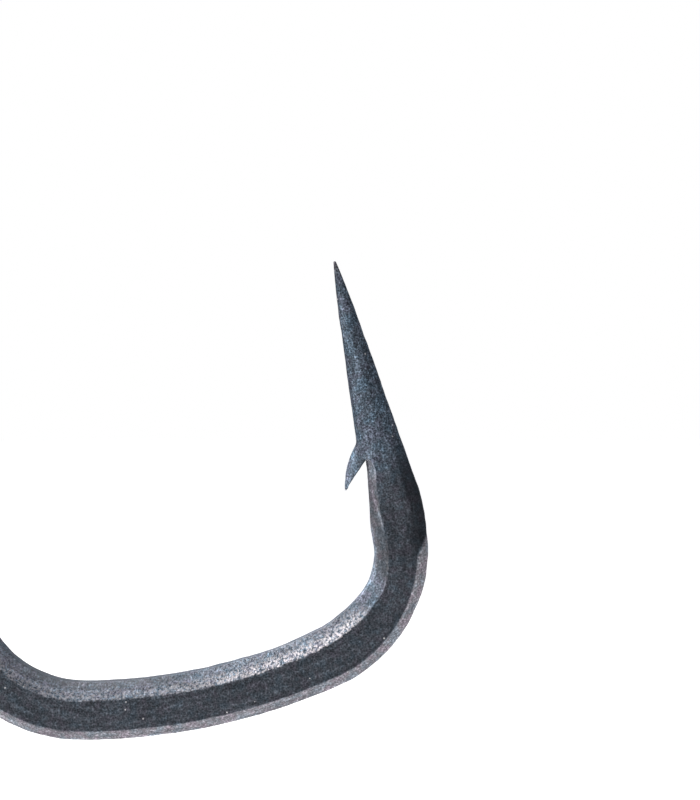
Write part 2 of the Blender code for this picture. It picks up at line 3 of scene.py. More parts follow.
import bmesh
import bpy
import numpy as np
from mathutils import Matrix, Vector

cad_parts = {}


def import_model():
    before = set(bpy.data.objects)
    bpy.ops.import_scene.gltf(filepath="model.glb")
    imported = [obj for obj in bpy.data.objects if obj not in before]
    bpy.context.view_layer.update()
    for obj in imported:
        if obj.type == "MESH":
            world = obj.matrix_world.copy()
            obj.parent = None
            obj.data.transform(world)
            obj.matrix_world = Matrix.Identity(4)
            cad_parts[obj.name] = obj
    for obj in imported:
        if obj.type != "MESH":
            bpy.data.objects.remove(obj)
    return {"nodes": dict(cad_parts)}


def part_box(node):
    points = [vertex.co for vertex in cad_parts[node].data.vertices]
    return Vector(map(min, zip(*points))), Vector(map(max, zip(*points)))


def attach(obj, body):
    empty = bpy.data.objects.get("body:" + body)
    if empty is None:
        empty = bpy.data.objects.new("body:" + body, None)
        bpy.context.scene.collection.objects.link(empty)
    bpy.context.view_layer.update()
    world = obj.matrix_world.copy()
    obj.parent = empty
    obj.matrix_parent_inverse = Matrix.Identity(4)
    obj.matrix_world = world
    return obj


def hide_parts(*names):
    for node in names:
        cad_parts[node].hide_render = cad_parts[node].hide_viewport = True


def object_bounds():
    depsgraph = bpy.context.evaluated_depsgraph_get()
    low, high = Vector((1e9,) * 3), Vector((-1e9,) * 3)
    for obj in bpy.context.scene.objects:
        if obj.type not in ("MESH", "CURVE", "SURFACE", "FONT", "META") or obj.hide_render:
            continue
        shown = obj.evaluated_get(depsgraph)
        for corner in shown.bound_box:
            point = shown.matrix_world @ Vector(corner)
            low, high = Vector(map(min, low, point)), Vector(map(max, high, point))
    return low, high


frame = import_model()
CAD_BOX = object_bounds()

# Lengths are in metres, and "reach" is the distance back from the hook's tip along its centre line

# The driving sizes of part.py, where the frame's boxes don't give them
GAP = 0.0003
JOURNAL_CLEARANCE = 0.00035
BAR_RADIUS = 0.006
JOURNAL_RADIUS = 0.006
THREAD_RADIUS = 0.0058
THREAD_PITCH = 0.00175
COLLAR_RADIUS = 0.011
COLLAR_THICKNESS = 0.005
GOOSENECK_DROP = 0.007
GOOSENECK_RADIUS = 0.028
GOOSENECK_TURN = 60.0
SHANK_LENGTH = 0.127
HEEL_RADIUS = 0.028
BOTTOM_RADIUS = 0.127
BOTTOM_TURN = 24.0
FRONT_RADIUS = 0.0248
EASE_RADIUS = 0.050
POINT_LEAN = 13.8
POINT_LENGTH = 0.050
FORGED_HALF = 0.0047
CROTCH_AT = 0.0418
BARB_HALF_WIDTH = 0.0036
CROOK_INNER_RADIUS = 0.022
CROOK_TIP_ANGLE = 172.0
NECK_BEND_RADIUS = 0.020
NECK_LENGTH = 0.006
PIN_RADIUS = 0.005
WIRE_RADIUS = 0.0007
LOOP_RADIUS = 0.0019
COTTER_LOOP_STAND_OFF = 0.0005
COTTER_BEND = 0.0014
COTTER_TAIL = 0.0028
COTTER_HOLE_RADIUS = 0.0020

# How far a shape reaches past the face that it cuts or joins, and a distance too small to see
OVERLAP = 0.001
SLIGHT = 0.0001

# The camera's view of the point, measured from the middle of the heel's bend
FRAME_HEIGHT = 0.1684
VIEW_RIGHT_OF_HEEL = 0.0562
VIEW_ABOVE_HEEL = 0.0372
LENS = 100.0
SENSOR = 36.0


def middle_of(name, axis):
    """The middle of a CAD node's box along one axis."""
    low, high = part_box(name)
    return (low[axis] + high[axis]) / 2


# Places read from the frame
COLLAR_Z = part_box("thrust_washer")[0][2] - GAP
SHAFT_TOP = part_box("lower_hook")[1][2]
PIN_Z = middle_of("clevis_pin", 2)
NUT_COTTER_Z = middle_of("nut_cotter", 2)
PIN_COTTER_X = middle_of("clevis_cotter", 0)


# ---- geometry helpers


def ease(value, low, high):
    """Rises from 0 at low to 1 at high, with no corner at either end. Takes arrays too."""
    share = np.clip((value - low) / (high - low), 0.0, 1.0)
    return share * share * (3 - 2 * share)


def hump(value, middle, width):
    """A bell of height 1."""
    return np.exp(-(((value - middle) / width) ** 2))


def changed(value, reach, changes):
    """The value once every (change, from, to) in the list has grown in along the reach."""
    for change, low, high in changes:
        value = value + change * ease(reach, low, high)
    return value


def toward(values, goal, weight):
    """Values moved towards a goal, all the way where the weight is 1."""
    return values + (goal - values) * weight


def centre_line(start, heading, runs):
    """(a, b, heading, distance) along straights (length, 0, parts) and arcs (radius, degrees, parts)."""
    a, b = start
    heading = math.radians(heading)
    distance = 0.0
    stations = [(a, b, heading, distance)]
    for size, degrees, parts in runs:
        turn = math.radians(degrees) / parts
        step = size * abs(turn) if degrees else size / parts
        chord = 2 * size * math.sin(abs(turn) / 2) if degrees else step
        for _ in range(parts):
            a += chord * math.cos(heading + turn / 2)
            b += chord * math.sin(heading + turn / 2)
            heading += turn
            distance += step
            stations.append((a, b, heading, distance))
    return stations


def ring_in_xz(station, section):
    """A section across an XZ centre line, with u to the right of the heading and v along Y."""
    x, z, heading = station[:3]
    right = (math.sin(heading), -math.cos(heading))
    return [(x + u * right[0], v, z + u * right[1]) for u, v in section]


def circle(radius, sides, first=0.0):
    """The corners of a regular outline. first is the angle of the first corner, in degrees."""
    turns = [math.radians(first) + 2 * math.pi * i / sides for i in range(sides)]
    return [(radius * math.cos(turn), radius * math.sin(turn)) for turn in turns]


def round_edge(centre, radius, first, last, parts=5):
    """The points of an arc after its first one, between two angles in degrees."""
    turns = [math.radians(first + (last - first) * k / parts) for k in range(1, parts + 1)]
    return [(centre[0] + radius * math.cos(turn), centre[1] + radius * math.sin(turn)) for turn in turns]


def soften(points, times):
    """Rounds the corners of a closed outline a little."""
    spots = np.asarray(points)
    for _ in range(times):
        spots = spots * 0.5 + (np.roll(spots, 1, axis=0) + np.roll(spots, -1, axis=0)) * 0.25
    return [tuple(spot) for spot in spots]


def new_object(name, mesh):
    thing = bpy.data.objects.new(name, mesh)
    bpy.context.scene.collection.objects.link(thing)
    return thing


def loft(name, rings, closed=False, flow=None):
    """A closed mesh through rings of equal length. flow gives each point's (along, u, v)."""
    count = len(rings[0])
    points = [point for ring in rings for point in ring]
    spans = len(rings) if closed else len(rings) - 1
    faces = []
    for k in range(spans):
        near = k * count
        far = ((k + 1) % len(rings)) * count
        for i in range(count):
            j = (i + 1) % count
            faces.append((near + i, near + j, far + j, far + i))
    if not closed:
        faces.append(tuple(range(count)))
        faces.append(tuple(range(len(points) - count, len(points))))
    mesh = bpy.data.meshes.new(name)
    mesh.from_pydata(points, [], faces)
    if flow is not None:
        write_values(mesh, "flow", flow)
    fix = bmesh.new()
    fix.from_mesh(mesh)
    bmesh.ops.recalc_face_normals(fix, faces=fix.faces[:])
    fix.to_mesh(mesh)
    fix.free()
    mesh.shade_smooth()
    return new_object(name, mesh)


SHARP_TURNED_EDGE = math.radians(32)


def turned(name, profile, sides=96, closed=False):
    """A piece turned about Z from (radius, height) points, open from end to end or a closed ring."""
    rings = [[(x, y, height) for x, y in circle(radius, sides)] for radius, height in profile]
    thing = loft(name, rings, closed)
    thing.data.set_sharp_from_angle(angle=SHARP_TURNED_EDGE)
    return thing


def prism(name, outline, low, high, axis):
    """A straight solid on an outline, along Y or Z."""
    spots = {"Y": lambda a, b, t: (a, t, b), "Z": lambda a, b, t: (a, b, t)}
    return loft(name, [[spots[axis](a, b, t) for a, b in outline] for t in (low, high)])


def settle(thing, location=(0, 0, 0), rotation=(0, 0, 0)):
    """Writes a place and a turn into the mesh, so that the object itself stays at the origin."""
    thing.location = location
    thing.rotation_euler = [math.radians(angle) for angle in rotation]
    bpy.context.view_layer.update()
    thing.data.transform(thing.matrix_world)
    thing.matrix_world.identity()
    thing.location = (0, 0, 0)
    thing.rotation_euler = (0, 0, 0)
    return thing


def lay_along_pin(thing):
    """Turns a piece made about Z onto the clevis pin's axis."""
    return settle(thing, (0, 0, PIN_Z), (0, 90, 0))


def bake_modifiers(thing):
    """Applies a piece's modifiers."""
    bpy.context.view_layer.update()
    graph = bpy.context.evaluated_depsgraph_get()
    mesh = bpy.data.meshes.new_from_object(thing.evaluated_get(graph), depsgraph=graph)
    old = thing.data
    thing.modifiers.clear()
    thing.data = mesh
    bpy.data.meshes.remove(old)


def carve(body, *tools):
    """Applies Booleans, each a (tool, operation), and removes the tools."""
    for tool, operation in tools:
        modifier = body.modifiers.new(tool.name, "BOOLEAN")
        modifier.operation = operation
        modifier.solver = "EXACT"
        modifier.object = tool
    bake_modifiers(body)
    for tool, _ in tools:
        bpy.data.objects.remove(tool, do_unlink=True)


def finish_piece(thing, body, node, slot):
    """Hands a piece to the frame: its body, the CAD node it stands for, and its slot's finish."""
    thing.data.materials.clear()
    thing.data.materials.append(FINISHES[slot])
    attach(thing, body)
    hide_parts(node)


def read_vectors(data, name):
    """One vector per vertex, as an array of rows."""
    values = np.empty(len(data) * 3, dtype=np.float32)
    data.foreach_get(name, values)
    return values.reshape(-1, 3).astype(float)


def write_values(mesh, name, values):
    """Writes one number, or one vector, for each vertex, for the materials to read."""
    kind, key = ("FLOAT", "value") if np.ndim(values) == 1 else ("FLOAT_VECTOR", "vector")
    layer = mesh.attributes.new(name, kind, "POINT")
    layer.data.foreach_set(key, np.asarray(values, dtype=np.float32).ravel())


WAVES = 14
WAVE_PITCHES = (0.6, 1.7)
WAVE_SUM_SCALE = 5.0


def wavering(points, scale, seed):
    """Smooth noise between about -1 and 1 at each point of an array, from a few turned waves."""
    random = np.random.default_rng(seed)
    total = np.zeros(len(points))
    for _ in range(WAVES):
        direction = random.normal(size=3)
        direction /= np.linalg.norm(direction)
        pitch = scale * random.uniform(*WAVE_PITCHES)
        phase = random.uniform(0, 2 * math.pi)
        total += np.sin(points @ direction * (2 * math.pi / pitch) + phase)
    return total / WAVE_SUM_SCALE


HAMMER_DEPTH = 0.00006
SCALE_DEPTH = 0.00003


def forge_skin(thing, hammer_marks, scale_marks, seed, mask=1.0):
    """Moves a skin along its normals, as hammering and forging scale leave it. The marks are sizes."""
    mesh = thing.data
    for size, depth in ((hammer_marks, HAMMER_DEPTH), (scale_marks, SCALE_DEPTH)):
        points = read_vectors(mesh.vertices, "co")
        shift = wavering(points, size, seed) * depth * mask
        moved = points + read_vectors(mesh.vertices, "normal") * shift[:, None]
        mesh.vertices.foreach_set("co", moved.astype(np.float32).ravel())
        mesh.update()
        seed += 1


# ---- materials


class Wire:
    """One output of a node. Arithmetic on it adds Math nodes to its tree."""

    def __init__(self, socket):
        self.socket = socket

    def maths(self, operation, other):
        return Graph(self.socket.id_data).add("ShaderNodeMath", {0: self, 1: other}, operation=operation)

    def __add__(self, other):
        return self.maths("ADD", other)

    def __sub__(self, other):
        return self.maths("SUBTRACT", other)

    def __mul__(self, other):
        return self.maths("MULTIPLY", other)

    def __rpow__(self, base):
        return Graph(self.socket.id_data).add("ShaderNodeMath", {0: base, 1: self}, operation="POWER")

    def clamped(self):
        self.socket.node.use_clamp = True
        return self

    def sibling(self, output):
        return Wire(self.socket.node.outputs[output])


class Graph:
    """A node tree, with short ways to add nodes to it."""

    def __init__(self, tree):
        self.tree = tree

    def connect(self, target, inputs):
        """Sets a node's inputs, each to a value or a Wire."""
        for key, value in inputs.items():
            if isinstance(value, Wire):
                self.tree.links.new(value.socket, target.inputs[key])
            else:
                target.inputs[key].default_value = value

    def add(self, kind, inputs=None, output=0, **settings):
        """Adds a node and returns one of its outputs."""
        new = self.tree.nodes.new(kind)
        for name, value in settings.items():
            setattr(new, name, value)
        self.connect(new, inputs or {})
        return Wire(new.outputs[output])

    def ramp(self, factor, stops):
        """The colour at a factor, from (position, (red, green, blue)) stops."""
        colour = self.add("ShaderNodeValToRGB", {"Fac": factor})
        elements = colour.socket.node.color_ramp.elements
        while len(elements) < len(stops):
            elements.new(0.5)
        for element, (position, shade) in zip(elements, stops):
            element.position = position
            element.color = (*shade, 1.0)
        return colour

    def threshold(self, factor, low, high):
        """Black below low, white above high."""
        return self.ramp(factor, ((low, (0, 0, 0)), (high, (1, 1, 1))))

    def mix(self, factor, first, second, blend="MIX"):
        """Two colours mixed, or combined by another blend."""
        inputs = {0: factor, 6: first, 7: second}
        return self.add("ShaderNodeMix", inputs, 2, data_type="RGBA", blend_type=blend)

    def place(self):
        """Coordinates that ride with the piece."""
        return self.add("ShaderNodeTexCoord", output="Object")

    def stretched(self, vector, scale):
        """Coordinates scaled by axis, so that noise on them runs into streaks."""
        return self.add("ShaderNodeMapping", {"Vector": vector, "Scale": scale})

    def noise(self, vector, scale, detail, roughness):
        """Cloudy noise between 0 and 1. scale is in features per metre."""
        inputs = {"Vector": vector, "Scale": scale, "Detail": detail, "Roughness": roughness}
        return self.add("ShaderNodeTexNoise", inputs, "Fac")

    def cells(self, vector, scale):
        """Distance from the middles of random cells."""
        inputs = {"Vector": vector, "Scale": scale, "Randomness": 1.0}
        return self.add("ShaderNodeTexVoronoi", inputs, "Distance")

    def edges(self, low, high):
        """White on a mesh's outer edges."""
        return self.threshold(self.add("ShaderNodeNewGeometry", output="Pointiness"), low, high)

    def attribute(self, name, output="Fac"):
        return self.add("ShaderNodeAttribute", output=output, attribute_name=name)


def principled(name):
    """A new material, its graph and its shader."""
    material = bpy.data.materials.new(name)
    material.use_nodes = True
    tree = material.node_tree
    return material, Graph(tree), tree.nodes["Principled BSDF"]


def dress(graph, shader, base, rough, height, strength, distance, metallic):
    """Connects a finish's colour, roughness and bump."""
    bump = graph.add("ShaderNodeBump", {"Height": height, "Strength": strength, "Distance": distance})
    graph.connect(shader, {"Base Color": base, "Roughness": rough, "Normal": bump, "Metallic": metallic})


MOTTLING = ((0.38, (0.86, 1.01, 1.08)), (0.50, (1.0, 1.0, 1.0)), (0.62, (1.12, 0.96, 1.02)))
COOL_SCALE = (0.80, 1.0, 1.25, 1.0)
WARM_SCALE = (1.0, 0.99, 1.08, 1.0)
FROSTED_GRAIN = (0.74, 0.69, 0.71, 1.0)
PALE_SPECK = (0.62, 0.60, 0.61, 1.0)
BARE_STEEL = (0.30, 0.30, 0.305, 1.0)
STEEL_GLANCE = (0.30, 0.33, 0.37, 1.0)


def forged_steel():
    """Blue-grey forging scale: fine grains, streaks along the bar, mottling, pale specks, worn edges.

    A mesh says how pale ("tone"), how warm ("tint"), how grainy ("bite"), how frosted ("frost") and
    how rubbed ("wear") each point is; on the hook's point the tone also carries painted highlights and
    painted shade. "flow" runs along and across the bar.
    """
    material, graph, shader = principled("forged_steel_scale")
    place = graph.place()
    names = ("tone", "tint", "bite", "frost", "wear")
    tone, tint, bite, frost, wear = [graph.attribute(name) for name in names]
    along_bar = graph.stretched(graph.attribute("flow", "Vector"), (0.10, 1.0, 1.0))

    fine = graph.noise(place, scale=3000.0, detail=2.0, roughness=0.65)
    middle = graph.noise(place, scale=900.0, detail=2.0, roughness=0.5)
    broad = graph.noise(place, scale=150.0, detail=3.0, roughness=0.6)
    streak = graph.noise(along_bar, scale=1100.0, detail=3.0, roughness=0.6)
    grains = (fine - 0.5) * 3.2 + (graph.cells(place, 2300.0) - 0.45) * 1.9
    speckle = grains + (middle - 0.5) * 1.1 + (streak - 0.5) * 2.2
    value = 2.0 ** (speckle * bite + (broad - 0.5) * 0.55) * tone

    mottle = graph.ramp(graph.noise(place, scale=420.0, detail=3.0, roughness=0.6), MOTTLING)
    hue = graph.mix(0.7, graph.mix(tint, COOL_SCALE, WARM_SCALE), mottle, "MULTIPLY")
    grey = graph.add("ShaderNodeCombineXYZ", {"X": value, "Y": value, "Z": value})
    base = graph.mix(1.0, hue, grey, "MULTIPLY")

    pale = graph.threshold(graph.noise(place, scale=1700.0, detail=2.0, roughness=0.7), 0.42, 0.60)
    base = graph.mix(pale * frost, base, FROSTED_GRAIN)
    dots = graph.cells(place, 520.0)
    chance = graph.add("ShaderNodeSeparateColor", {"Color": dots.sibling("Color")})
    specks = dots.maths("LESS_THAN", 0.095) * chance.maths("GREATER_THAN", 0.80)
    base = graph.mix(specks * 0.75, base, PALE_SPECK)
    rubbed = (graph.edges(0.53, 0.62) * middle * 0.35 + wear).clamped()
    base = graph.mix(rubbed, base, BARE_STEEL)

    rough = (fine * 0.30 + 0.36 - wear * 0.20).clamped()
    lumps = grains * (bite + frost) + streak
    dress(graph, shader, base, rough, lumps, strength=0.35, distance=0.00012, metallic=0.75)
    graph.connect(shader, {"Specular Tint": STEEL_GLANCE})
    return material


PLATE_SHADES = ((0.32, (0.17, 0.18, 0.20)), (0.50, (0.26, 0.27, 0.285)), (0.68, (0.34, 0.33, 0.31)))
DULL_PLATE = (0.11, 0.11, 0.115, 1.0)
RUBBED_PLATE = (0.50, 0.50, 0.51, 1.0)


def plated_steel():
    """Satin zinc plate: blue-grey with cloudy patches, fine scratches and rubbed edges."""
    material, graph, shader = principled("zinc_plate")
    place = graph.place()
    cloud = graph.noise(place, scale=260.0, detail=4.0, roughness=0.6)
    spots = graph.noise(place, scale=1400.0, detail=2.0, roughness=0.6)
    scratch = graph.noise(graph.stretched(place, (1.0, 1.0, 9.0)), scale=600.0, detail=4.0, roughness=0.7)
    base = graph.ramp(cloud, PLATE_SHADES)
    base = graph.mix(graph.threshold(spots, 0.60, 0.74) * 0.5, base, DULL_PLATE)
    base = graph.mix(graph.edges(0.54, 0.62) * 0.6, base, RUBBED_PLATE)
    rough, height = scratch * 0.25 + 0.28, scratch * 0.4 + spots
    dress(graph, shader, base, rough, height, strength=0.18, distance=0.0001, metallic=1.0)
    return material


BRONZE_SHADES = ((0.34, (0.13, 0.075, 0.035)), (0.48, (0.36, 0.21, 0.085)), (0.66, (0.56, 0.36, 0.16)))


def bearing_bronze():
    """Turned bronze: brown-gold, with dark tarnish in patches and fine tool marks."""
    material, graph, shader = principled("bearing_bronze")
    place = graph.place()
    cloud = graph.noise(place, scale=340.0, detail=4.0, roughness=0.6)
    fine = graph.noise(place, scale=1900.0, detail=2.0, roughness=0.6)
    marks = graph.noise(graph.stretched(place, (0.2, 0.2, 12.0)), scale=900.0, detail=2.0, roughness=0.5)
    rough, height = cloud * -0.25 + 0.52, marks + fine * 0.4
    base = graph.ramp(cloud, BRONZE_SHADES)
    dress(graph, shader, base, rough, height, strength=0.2, distance=0.0001, metallic=1.0)
    return material


FINISHES = {"forged_steel": forged_steel(), "plated_steel": plated_steel(), "bronze": bearing_bronze()}


# ---- lower hook: shape

# The point's cone, with its tip drawn out thinner, and how softly it runs into the bar
CONE_BASE = 0.0008
CONE_SLOPE = 0.1
TIP_THINNING = 0.0005
TIP_THINNING_LENGTH = 0.0065
CONE_SOFTNESS = BAR_RADIUS / 40

# (change, from, to) along the reach
CUT_DEPTH = 0.00145
CUT_CHANGES = (
    (-0.0010, CROTCH_AT, 0.057),
    (0.00055, 0.0565, 0.0635),
    (-0.00140, 0.0665, 0.0840),
    (0.00040, 0.086, 0.100),
)
INNER_BEVEL_AT_CROTCH = 0.0005
INNER_BEVEL_OPENING = (0.0012, 0.0022)
INNER_BEVEL_CHANGES = ((0.0012, 0.046, 0.062), (0.0006, 0.062, 0.072))
INNER_BEVEL_ON_CONE = 0.0008
OUTER_BEVEL = 0.0032
OUTER_BEVEL_CHANGES = ((-0.0018, 0.046, 0.060), (0.0008, 0.061, 0.069))
OUTER_EDGE_CHANGES = ((0.4, 0.043, 0.052), (0.6, 0.0575, 0.0615))

# (from, to) along the reach
FLATS_GROW = (0.0385, 0.056)
FLATS_END = (0.200, 0.235)
CROTCH_EDGE = (CROTCH_AT - 0.0003, CROTCH_AT)

# (height, middle, width) of two slight swellings left by the hammer, and the second one's place across
OUTER_SWELL = (0.00018, 0.063, 0.009)
FACET_RIDGE = (0.00016, 0.052, 0.0055)
RIDGE_ACROSS = (0.36, 0.20)
RIDGE_LEAN = (0.8, 0.6)

OUTER_SIDE_FLAT = 0.5
INNER_SIDE_FLAT = 0.45

# (reach, distance from the centre line) of the barb's outline, which part.py shares
BARB_ROOT = (0.0380, 0.0045)
BARB_BULGE = (0.0418, 0.0084)
BARB_TIP = (0.0470, 0.0093)
BARB_HEEL = (0.0392, 0.0007)

# The raised skin over the barb: where it starts, how softly, and its plateau's and foot's half widths
LOBE_FROM = 0.0345
LIFT_SOFTNESS = 0.00022
BARB_GROWS = (0.0375, 0.0425)
PLATEAU = (0.0008, 0.0023)
FOOT = (0.0042, -0.0004)


def point_radius(reach):
    """The cone of the point, running softly into the round bar."""
    cone = CONE_BASE + CONE_SLOPE * reach - TIP_THINNING * np.exp(-reach / TIP_THINNING_LENGTH)
    return -CONE_SOFTNESS * np.log(np.exp(-cone / CONE_SOFTNESS) + np.exp(-BAR_RADIUS / CONE_SOFTNESS))


def cut_depth(reach):
    """The chisel cut under the barb, the notch where the chisel started and the swell of the bend."""
    return np.where(reach < CROTCH_AT, 0.0, changed(CUT_DEPTH, reach, CUT_CHANGES))


def barb_out(reach):
    """Distance of the barb's outer side from the centre line, along a curve from root to tip."""
    low, high = 0.0, 1.0
    for _ in range(24):
        share = (low + high) / 2
        root, bulge, free = (1 - share) ** 2, 2 * share * (1 - share), share**2
        at, out = [root * a + bulge * b + free * c for a, b, c in zip(BARB_ROOT, BARB_BULGE, BARB_TIP)]
        low, high = (share, high) if at < reach else (low, share)
    return out


def barb_lift(reach):
    """How far the chisel has raised the round skin, rising softly out of the cone."""
    lift = barb_out(max(reach, BARB_ROOT[0])) - point_radius(min(reach, CROTCH_AT))
    lift -= max(BARB_ROOT[0] - reach, 0.0)
    return LIFT_SOFTNESS * math.log(1 + math.exp(lift / LIFT_SOFTNESS))


def barb_surface(reach, across):
    """Height of the raised skin: the round of the cone, lifted in the middle."""
    radius = point_radius(min(reach, CROTCH_AT))
    grown = ease(reach, *BARB_GROWS)
    plateau, foot = [start + growth * grown for start, growth in (PLATEAU, FOOT)]
    lifted = 1 - ease(abs(across), plateau, foot)
    return math.sqrt(max(radius**2 - across**2, 0.0)) + barb_lift(reach) * lifted


def inner_bevel_width(reach):
    """The chisel's facet opens quickly below the crotch and widens down to the bend."""
    growth, length = INNER_BEVEL_OPENING
    opening = np.clip((reach - CROTCH_AT) / length, 0.0, 1.0) ** 0.5
    below = changed(INNER_BEVEL_AT_CROTCH + growth * opening, reach, INNER_BEVEL_CHANGES)
    return np.where(reach < CROTCH_AT, INNER_BEVEL_ON_CONE, below)


# Points along each side of the section, from the far inner corner round the outer side
SIDE_PARTS = (18, 12, 14, 12, 18, 14, 14, 14)
INNER_BEVEL_SIDES = (5, 7)

# The directions of the near side's four corners, for where the bar is round
ROUND_CORNERS = ((-1.0, 0.5), (-0.42, 1.0), (0.65, 1.0), (1.0, 0.5))


def section_corners(reach, radius, half, inner, outer):
    """The eight corners of the section, forged below the crotch and plain above it."""
    near = [(x * radius, y * radius) for x, y in ROUND_CORNERS]
    if reach >= CROTCH_AT:
        outer_corner = outer - changed(OUTER_BEVEL, reach, OUTER_BEVEL_CHANGES)
        near = [(-inner, half * INNER_SIDE_FLAT), (inner_bevel_width(reach) - inner, half)]
        near += [(outer_corner, half), (outer, half * OUTER_SIDE_FLAT)]
    return near[1:] + [(x, -y) for x, y in reversed(near)] + near[:1]


def hook_section(reach):
    """(u, v) points round the bar: round on the cone and shank, flat with bevels where it is forged."""
    radius = point_radius(reach)
    ends = 1 - ease(reach, *FLATS_END)
    flat = ease(reach, *FLATS_GROW) * ends
    inner_edge = ease(reach, *CROTCH_EDGE) * ends
    outer_edge = changed(0.0, reach, OUTER_EDGE_CHANGES) * ends
    half = radius + (FORGED_HALF - radius) * flat
    inner = radius - cut_depth(reach)
    outer = radius + OUTER_SWELL[0] * hump(reach, *OUTER_SWELL[1:])
    corners = section_corners(reach, radius, half, inner, outer)
    ridge = FACET_RIDGE[0] * hump(reach, *FACET_RIDGE[1:])
    points = []
    for k, (u0, v0) in enumerate(corners):
        u1, v1 = corners[(k + 1) % len(corners)]
        for i in range(SIDE_PARTS[k]):
            share = (1 - math.cos(math.pi * i / SIDE_PARTS[k])) / 2
            u = u0 + (u1 - u0) * share
            v = v0 + (v1 - v0) * share
            side, edge = (outer, outer_edge) if u > 0 else (inner, inner_edge)
            if k in INNER_BEVEL_SIDES:
                near = share if k == INNER_BEVEL_SIDES[0] else 1 - share
                lift = ridge * max(0.0, 1 - abs(near - RIDGE_ACROSS[0]) / RIDGE_ACROSS[1])
                u -= lift * RIDGE_LEAN[0]
                v += math.copysign(lift * RIDGE_LEAN[1], v)
            turn = math.atan2(v / half, u / side)
            round_u = side * math.cos(turn)
            round_v = half * math.sin(turn)
            points.append((u * edge + round_u * (1 - edge), v * edge + round_v * (1 - edge)))
    points = soften(points, 2)
    if LOBE_FROM < reach < CROTCH_AT:
        lifts = [barb_surface(reach, v) - math.sqrt(max(radius**2 - v**2, 0.0)) for _, v in points]
        points = [(u - lift * (u < 0), v) for (u, v), lift in zip(points, lifts)]
    return points


def hook_line():
    """Stations from below the collar to the tip, close together where the camera looks."""
    top = COLLAR_Z - COLLAR_THICKNESS - GOOSENECK_DROP
    runs = (
        (GOOSENECK_RADIUS, -GOOSENECK_TURN, 30),
        (GOOSENECK_RADIUS, GOOSENECK_TURN, 30),
        (SHANK_LENGTH, 0, 100),
        (HEEL_RADIUS, 90.0, 60),
        (BOTTOM_RADIUS, BOTTOM_TURN, 90),
        (FRONT_RADIUS, 90.0 - BOTTOM_TURN, 90),
        (EASE_RADIUS, POINT_LEAN, 44),
        (POINT_LENGTH - CROTCH_AT, 0, 30),
        (CROTCH_AT, 0, 150),
    )
    return centre_line((0.0, top), -90.0, runs)


# The barb's free end: how far short of its tip it is cut off, and from where and how steeply it is blunt
SLIVER_END = 0.00025
BLUNT_LENGTH = 0.00075
BLUNT_SLOPE = 0.4
SLIVER_RINGS = 70
SLIVER_PARTS = 36
SLIVER_BACK_PARTS = 14
SLIVER_SUNK = 0.00006
SLIVER_RISES = (0.0410, CROTCH_AT)
TEAR_FROM = 0.0448
TEAR_ALONG = 3.2


def barb_half_width(reach, sunk, under):
    """The widest that the barb can be while its skin stays above the chisel's cut."""
    half = BARB_HALF_WIDTH
    while half > 0.0003 and barb_surface(reach, half) - sunk < under + SLIGHT:
        half -= 0.00004
    return half


def barb_sliver(tip):
    """The barb: the lifted round skin outside, the chisel's flat cut inside, and a torn free end."""
    x, z, heading = tip[:3]
    back = Vector((-math.cos(heading), 0, -math.sin(heading)))
    inward = Vector((-math.sin(heading), 0, math.cos(heading)))
    start, end = BARB_ROOT[0], BARB_TIP[0] - SLIVER_END
    blunt_from = BARB_TIP[0] - BLUNT_LENGTH
    slope = (BARB_TIP[1] - BARB_HEEL[1]) / (BARB_TIP[0] - BARB_HEEL[0])
    rings = []
    for k in range(SLIVER_RINGS + 1):
        reach = start + (end - start) * k / SLIVER_RINGS
        under = BARB_HEEL[1] + slope * max(min(reach, blunt_from) - BARB_HEEL[0], 0.0)
        under += BLUNT_SLOPE * max(reach - blunt_from, 0.0)
        sunk = SLIVER_SUNK * (1 - ease(reach, *SLIVER_RISES))
        half = barb_half_width(reach, sunk, under)
        torn = ease(reach, TEAR_FROM, end)
        spots = []
        for i in range(SLIVER_PARTS + 1):
            across = -half + 2 * half * i / SLIVER_PARTS
            tear = 0.00009 * math.sin(across * 5200 + 2.0) + 0.00006 * math.sin(across * 11900)
            top = max(barb_surface(reach, across) - sunk, under + SLIGHT / 2)
            spots.append((reach + tear * TEAR_ALONG * torn, top + tear * torn, across))
        for i in range(1, SLIVER_BACK_PARTS):
            spots.append((reach, under, half - 2 * half * i / SLIVER_BACK_PARTS))
        corner = Vector((x, 0, z))
        rings.append([corner + back * along + inward * out + Vector((0, y, 0)) for along, out, y in spots])
    return loft("barb_sliver", rings)


# The shaft's turned end
THREAD_RINGS = 150
THREAD_DEPTH = 0.0007
THREAD_CHAMFER = 0.0009
COLLAR_ROUNDING = 0.0005
COLLAR_CONE = (0.0016, 0.0062)
COLLAR_CONE_RINGS = 26
JOURNAL_FILLET = 0.0002


